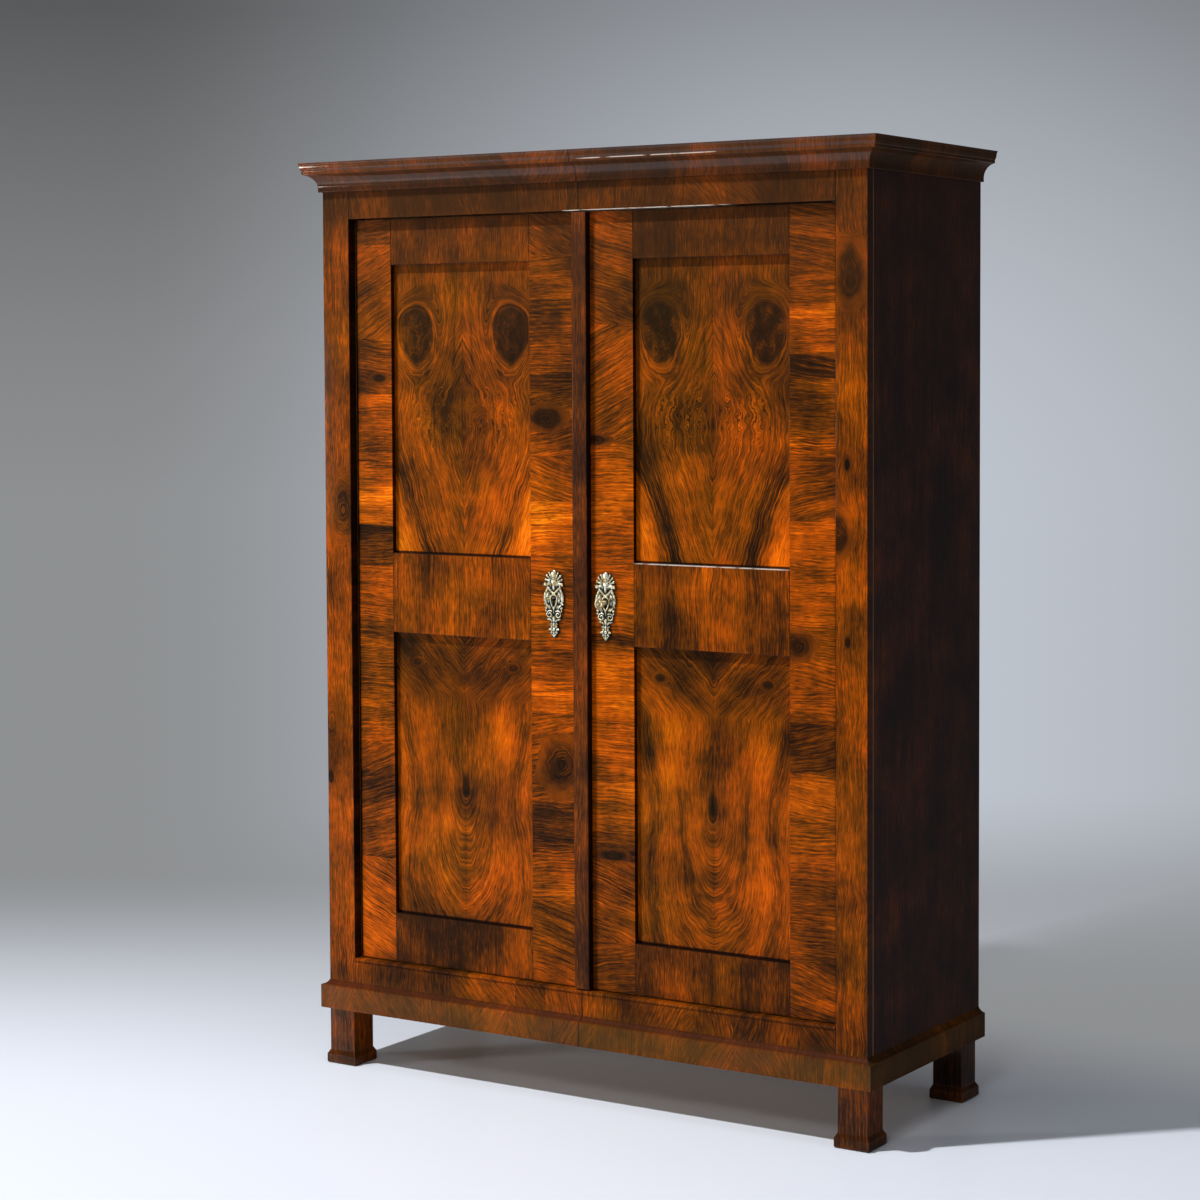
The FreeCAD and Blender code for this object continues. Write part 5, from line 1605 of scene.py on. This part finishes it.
@dataclass(frozen=True)
class Studio:
    """Camera, floor, backdrop and lamps.

    Attributes:
        eye: The camera's place, in metres.
        yaw: The way that it faces, in degrees from straight on.
        pitch: How far it looks down, in degrees.
        roll: How far it is tipped, in degrees.
        lens: Focal length, in millimetres.
        shift: Sideways and upright shift of the picture.
        floor_radius: Radius of the floor.
        pool_aside: Where the pool of light stands on the backdrop: sideways over forwards.
        pool_width: Half its width in the same measure.
        pool_grey: The backdrop's grey in that pool.
        dusk: Its grey at the horizon away from it.
    """

    eye: tuple[float, float, float] = (3.021, -4.718, 1.491)
    yaw: float = -31.79
    pitch: float = 2.91
    roll: float = 0.18
    lens: float = 81.78
    shift: tuple[float, float] = (-0.0667, -0.0833)
    floor_radius: float = 14.0
    pool_aside: float = -0.532
    pool_width: float = 0.42
    pool_grey: str = "bfc5ce"
    dusk: str = "8e9092"

    def build(self) -> None:
        """Makes the whole studio."""
        self.build_camera()
        self.build_floor()
        self.build_world()
        self.build_lamps()
        bpy.context.scene.view_settings.view_transform = "Standard"

    def build_camera(self) -> None:
        """Makes the camera at the photograph's place."""
        yaw, pitch, roll = (math.radians(angle) for angle in (self.yaw, self.pitch, self.roll))
        forward = Vector(
            (math.sin(yaw) * math.cos(pitch), math.cos(yaw) * math.cos(pitch), -math.sin(pitch))
        )
        level = Vector((math.cos(yaw), -math.sin(yaw), 0.0))
        down = forward.cross(level)
        right = level * math.cos(roll) + down * math.sin(roll)
        up = level * math.sin(roll) - down * math.cos(roll)
        data = bpy.data.cameras.new("camera")
        data.lens = self.lens
        data.sensor_width = 36
        data.shift_x, data.shift_y = self.shift
        camera = bpy.data.objects.new("camera", data)
        turn = Matrix((right, up, -forward)).transposed().to_4x4()
        camera.matrix_world = Matrix.Translation(self.eye) @ turn
        bpy.context.scene.collection.objects.link(camera)
        bpy.context.scene.camera = camera

    def seen_mix(
        self, tree: bpy.types.NodeTree, plain: bpy.types.NodeSocket, seen: bpy.types.NodeSocket
    ) -> bpy.types.NodeSocket:
        """Mixes shaders so that the camera, mirrors and glass meet the second one.

        Args:
            tree: The node tree.
            plain: The shader that lights the object.
            seen: The shader that is looked at.

        Returns:
            The mixed shader's output.
        """
        path = tree.nodes.new("ShaderNodeLightPath")
        mix = tree.nodes.new("ShaderNodeMixShader")
        seen_share = path.outputs["Is Camera Ray"]
        for other in ("Is Glossy Ray", "Is Transmission Ray"):
            either = tree.nodes.new("ShaderNodeMath")
            either.operation = "ADD"
            either.use_clamp = True
            tree.links.new(seen_share, either.inputs[0])
            tree.links.new(path.outputs[other], either.inputs[1])
            seen_share = either.outputs[0]
        tree.links.new(seen_share, mix.inputs[0])
        tree.links.new(plain, mix.inputs[1])
        tree.links.new(seen, mix.inputs[2])
        return mix.outputs[0]

    def build_floor(self) -> None:
        """Makes the pale floor, which fades into the backdrop's grey far from the cupboard, and
        shows that grey as a painted shadow behind and to the right of it.
        """
        shape = bmesh.new()
        bmesh.ops.create_circle(shape, cap_ends=True, radius=self.floor_radius, segments=96)
        floor = bpy.data.objects.new("floor", mesh_from("floor", shape))
        bpy.context.scene.collection.objects.link(floor)
        sheet = NodeSheet("floor")
        sheet.set(Base_Color="dde4f1", Roughness=0.34, Specular_IOR_Level=0.3)
        x, y, _ = sheet.place
        depth = y * 0.85 - x * 0.527  # away from the camera, past the cupboard
        aside = (x - self.eye[0]) / (y - self.eye[1]).at_least(0.5)
        pool = aside.hill(self.pool_aside, self.pool_width) * depth.rise(0.5, 4.0)
        far = sheet.mix(pool, self.dusk, self.pool_grey)
        glow = sheet.add("ShaderNodeEmission", {"Color": far, "Strength": 1.0})
        spread = (x * x + y * y).root()
        # Painted shadow: behind and to the right of the cupboard, the camera sees the backdrop's
        # flat grey in place of the lit floor.
        behind = y.rise(0.25, 0.95) * x.rise(-0.5, 0.3)
        fade = depth.rise(-0.20, 2.4).at_least(spread.rise(3.0, 6.0))
        fade = fade.at_least(behind)
        blend = sheet.add("ShaderNodeMixShader", {"Fac": fade})
        tree = sheet.tree
        output = next(node for node in tree.nodes if node.type == "OUTPUT_MATERIAL")
        tree.links.new(sheet.shader.outputs[0], blend.inputs[1])
        tree.links.new(glow.outputs[0], blend.inputs[2])
        seen = self.seen_mix(tree, sheet.shader.outputs[0], blend.outputs[0])
        tree.links.new(seen, output.inputs["Surface"])
        floor.data.materials.append(sheet.material)

    def build_world(self) -> None:
        """Makes a soft even sky, seen by the camera as a grey that darkens upwards."""
        world = bpy.data.worlds.new("studio")
        world.use_nodes = True
        bpy.context.scene.world = world
        sheet = NodeSheet("sky_sheet", world.node_tree)
        x, y, z = sheet.place
        grey = sheet.ramp(
            z * 2 + 0.5,
            [
                (0.40, self.dusk), (0.51, "858688"), (0.62, "747576"), (0.75, "5a5b5c"),
                (1.0, "4c4d4e"),
            ],
        )
        aside = x / y.at_least(0.05)
        pool = aside.hill(self.pool_aside, self.pool_width) * z.hill(-0.06, 0.34)
        soft = sheet.add("ShaderNodeBackground", {"Color": "b4b8c0", "Strength": 0.20})
        seen = sheet.add("ShaderNodeBackground", {"Color": sheet.mix(pool, grey, self.pool_grey)})
        mixed = self.seen_mix(sheet.tree, soft.outputs[0], seen.outputs[0])
        output = sheet.add("ShaderNodeOutputWorld", {})
        sheet.tree.links.new(mixed, output.inputs["Surface"])

    def build_lamps(self) -> None:
        """Makes a low lamp and a high one on the left, and two weak ones."""
        self.lamp("key", (-4.6, -4.35, 1.2), (0.1, -0.2, 0.75), (0.8, 0.8), 125.0, "fffaf2")
        self.lamp("high", (-2.81, -3.64, 7.48), (0.0, -0.2, 0.6), (0.3, 0.3), 760.0, "fffdfa")
        self.lamp("fill", (1.6, -4.6, 3.9), (0.0, 0.0, 0.9), (1.2, 1.0), 40.0, "fffaf2")
        self.lamp("top", (0.5, -0.5, 6.0), (0.2, -0.3, 0.0), (2.4, 2.4), 60.0, "ffffff")

    def lamp(
        self,
        name: str,
        place: tuple[float, float, float],
        target: tuple[float, float, float],
        size: tuple[float, float],
        power: float,
        tint: str,
    ) -> None:
        """Adds one area lamp.

        Args:
            name: The lamp's name.
            place: Where it hangs.
            target: The point that it faces.
            size: Its width and height.
            power: Its power, in watts.
            tint: Its colour.
        """
        data = bpy.data.lights.new(name, "AREA")
        data.shape = "RECTANGLE"
        data.size, data.size_y = size
        data.energy = power
        data.color = hue(tint)[:3]
        lamp = bpy.data.objects.new(name, data)
        turn = (Vector(target) - Vector(place)).to_track_quat("-Z", "Y").to_matrix().to_4x4()
        lamp.matrix_world = Matrix.Translation(place) @ turn
        bpy.context.scene.collection.objects.link(lamp)


def main() -> None:
    """Builds the cupboard's looks in order."""
    logging.basicConfig(level=logging.INFO, format="%(name)s %(message)s")
    Studio().build()
    Veneers().build()
    Fittings().build()
    Ironwork().build()


if __name__ == "__main__":
    main()
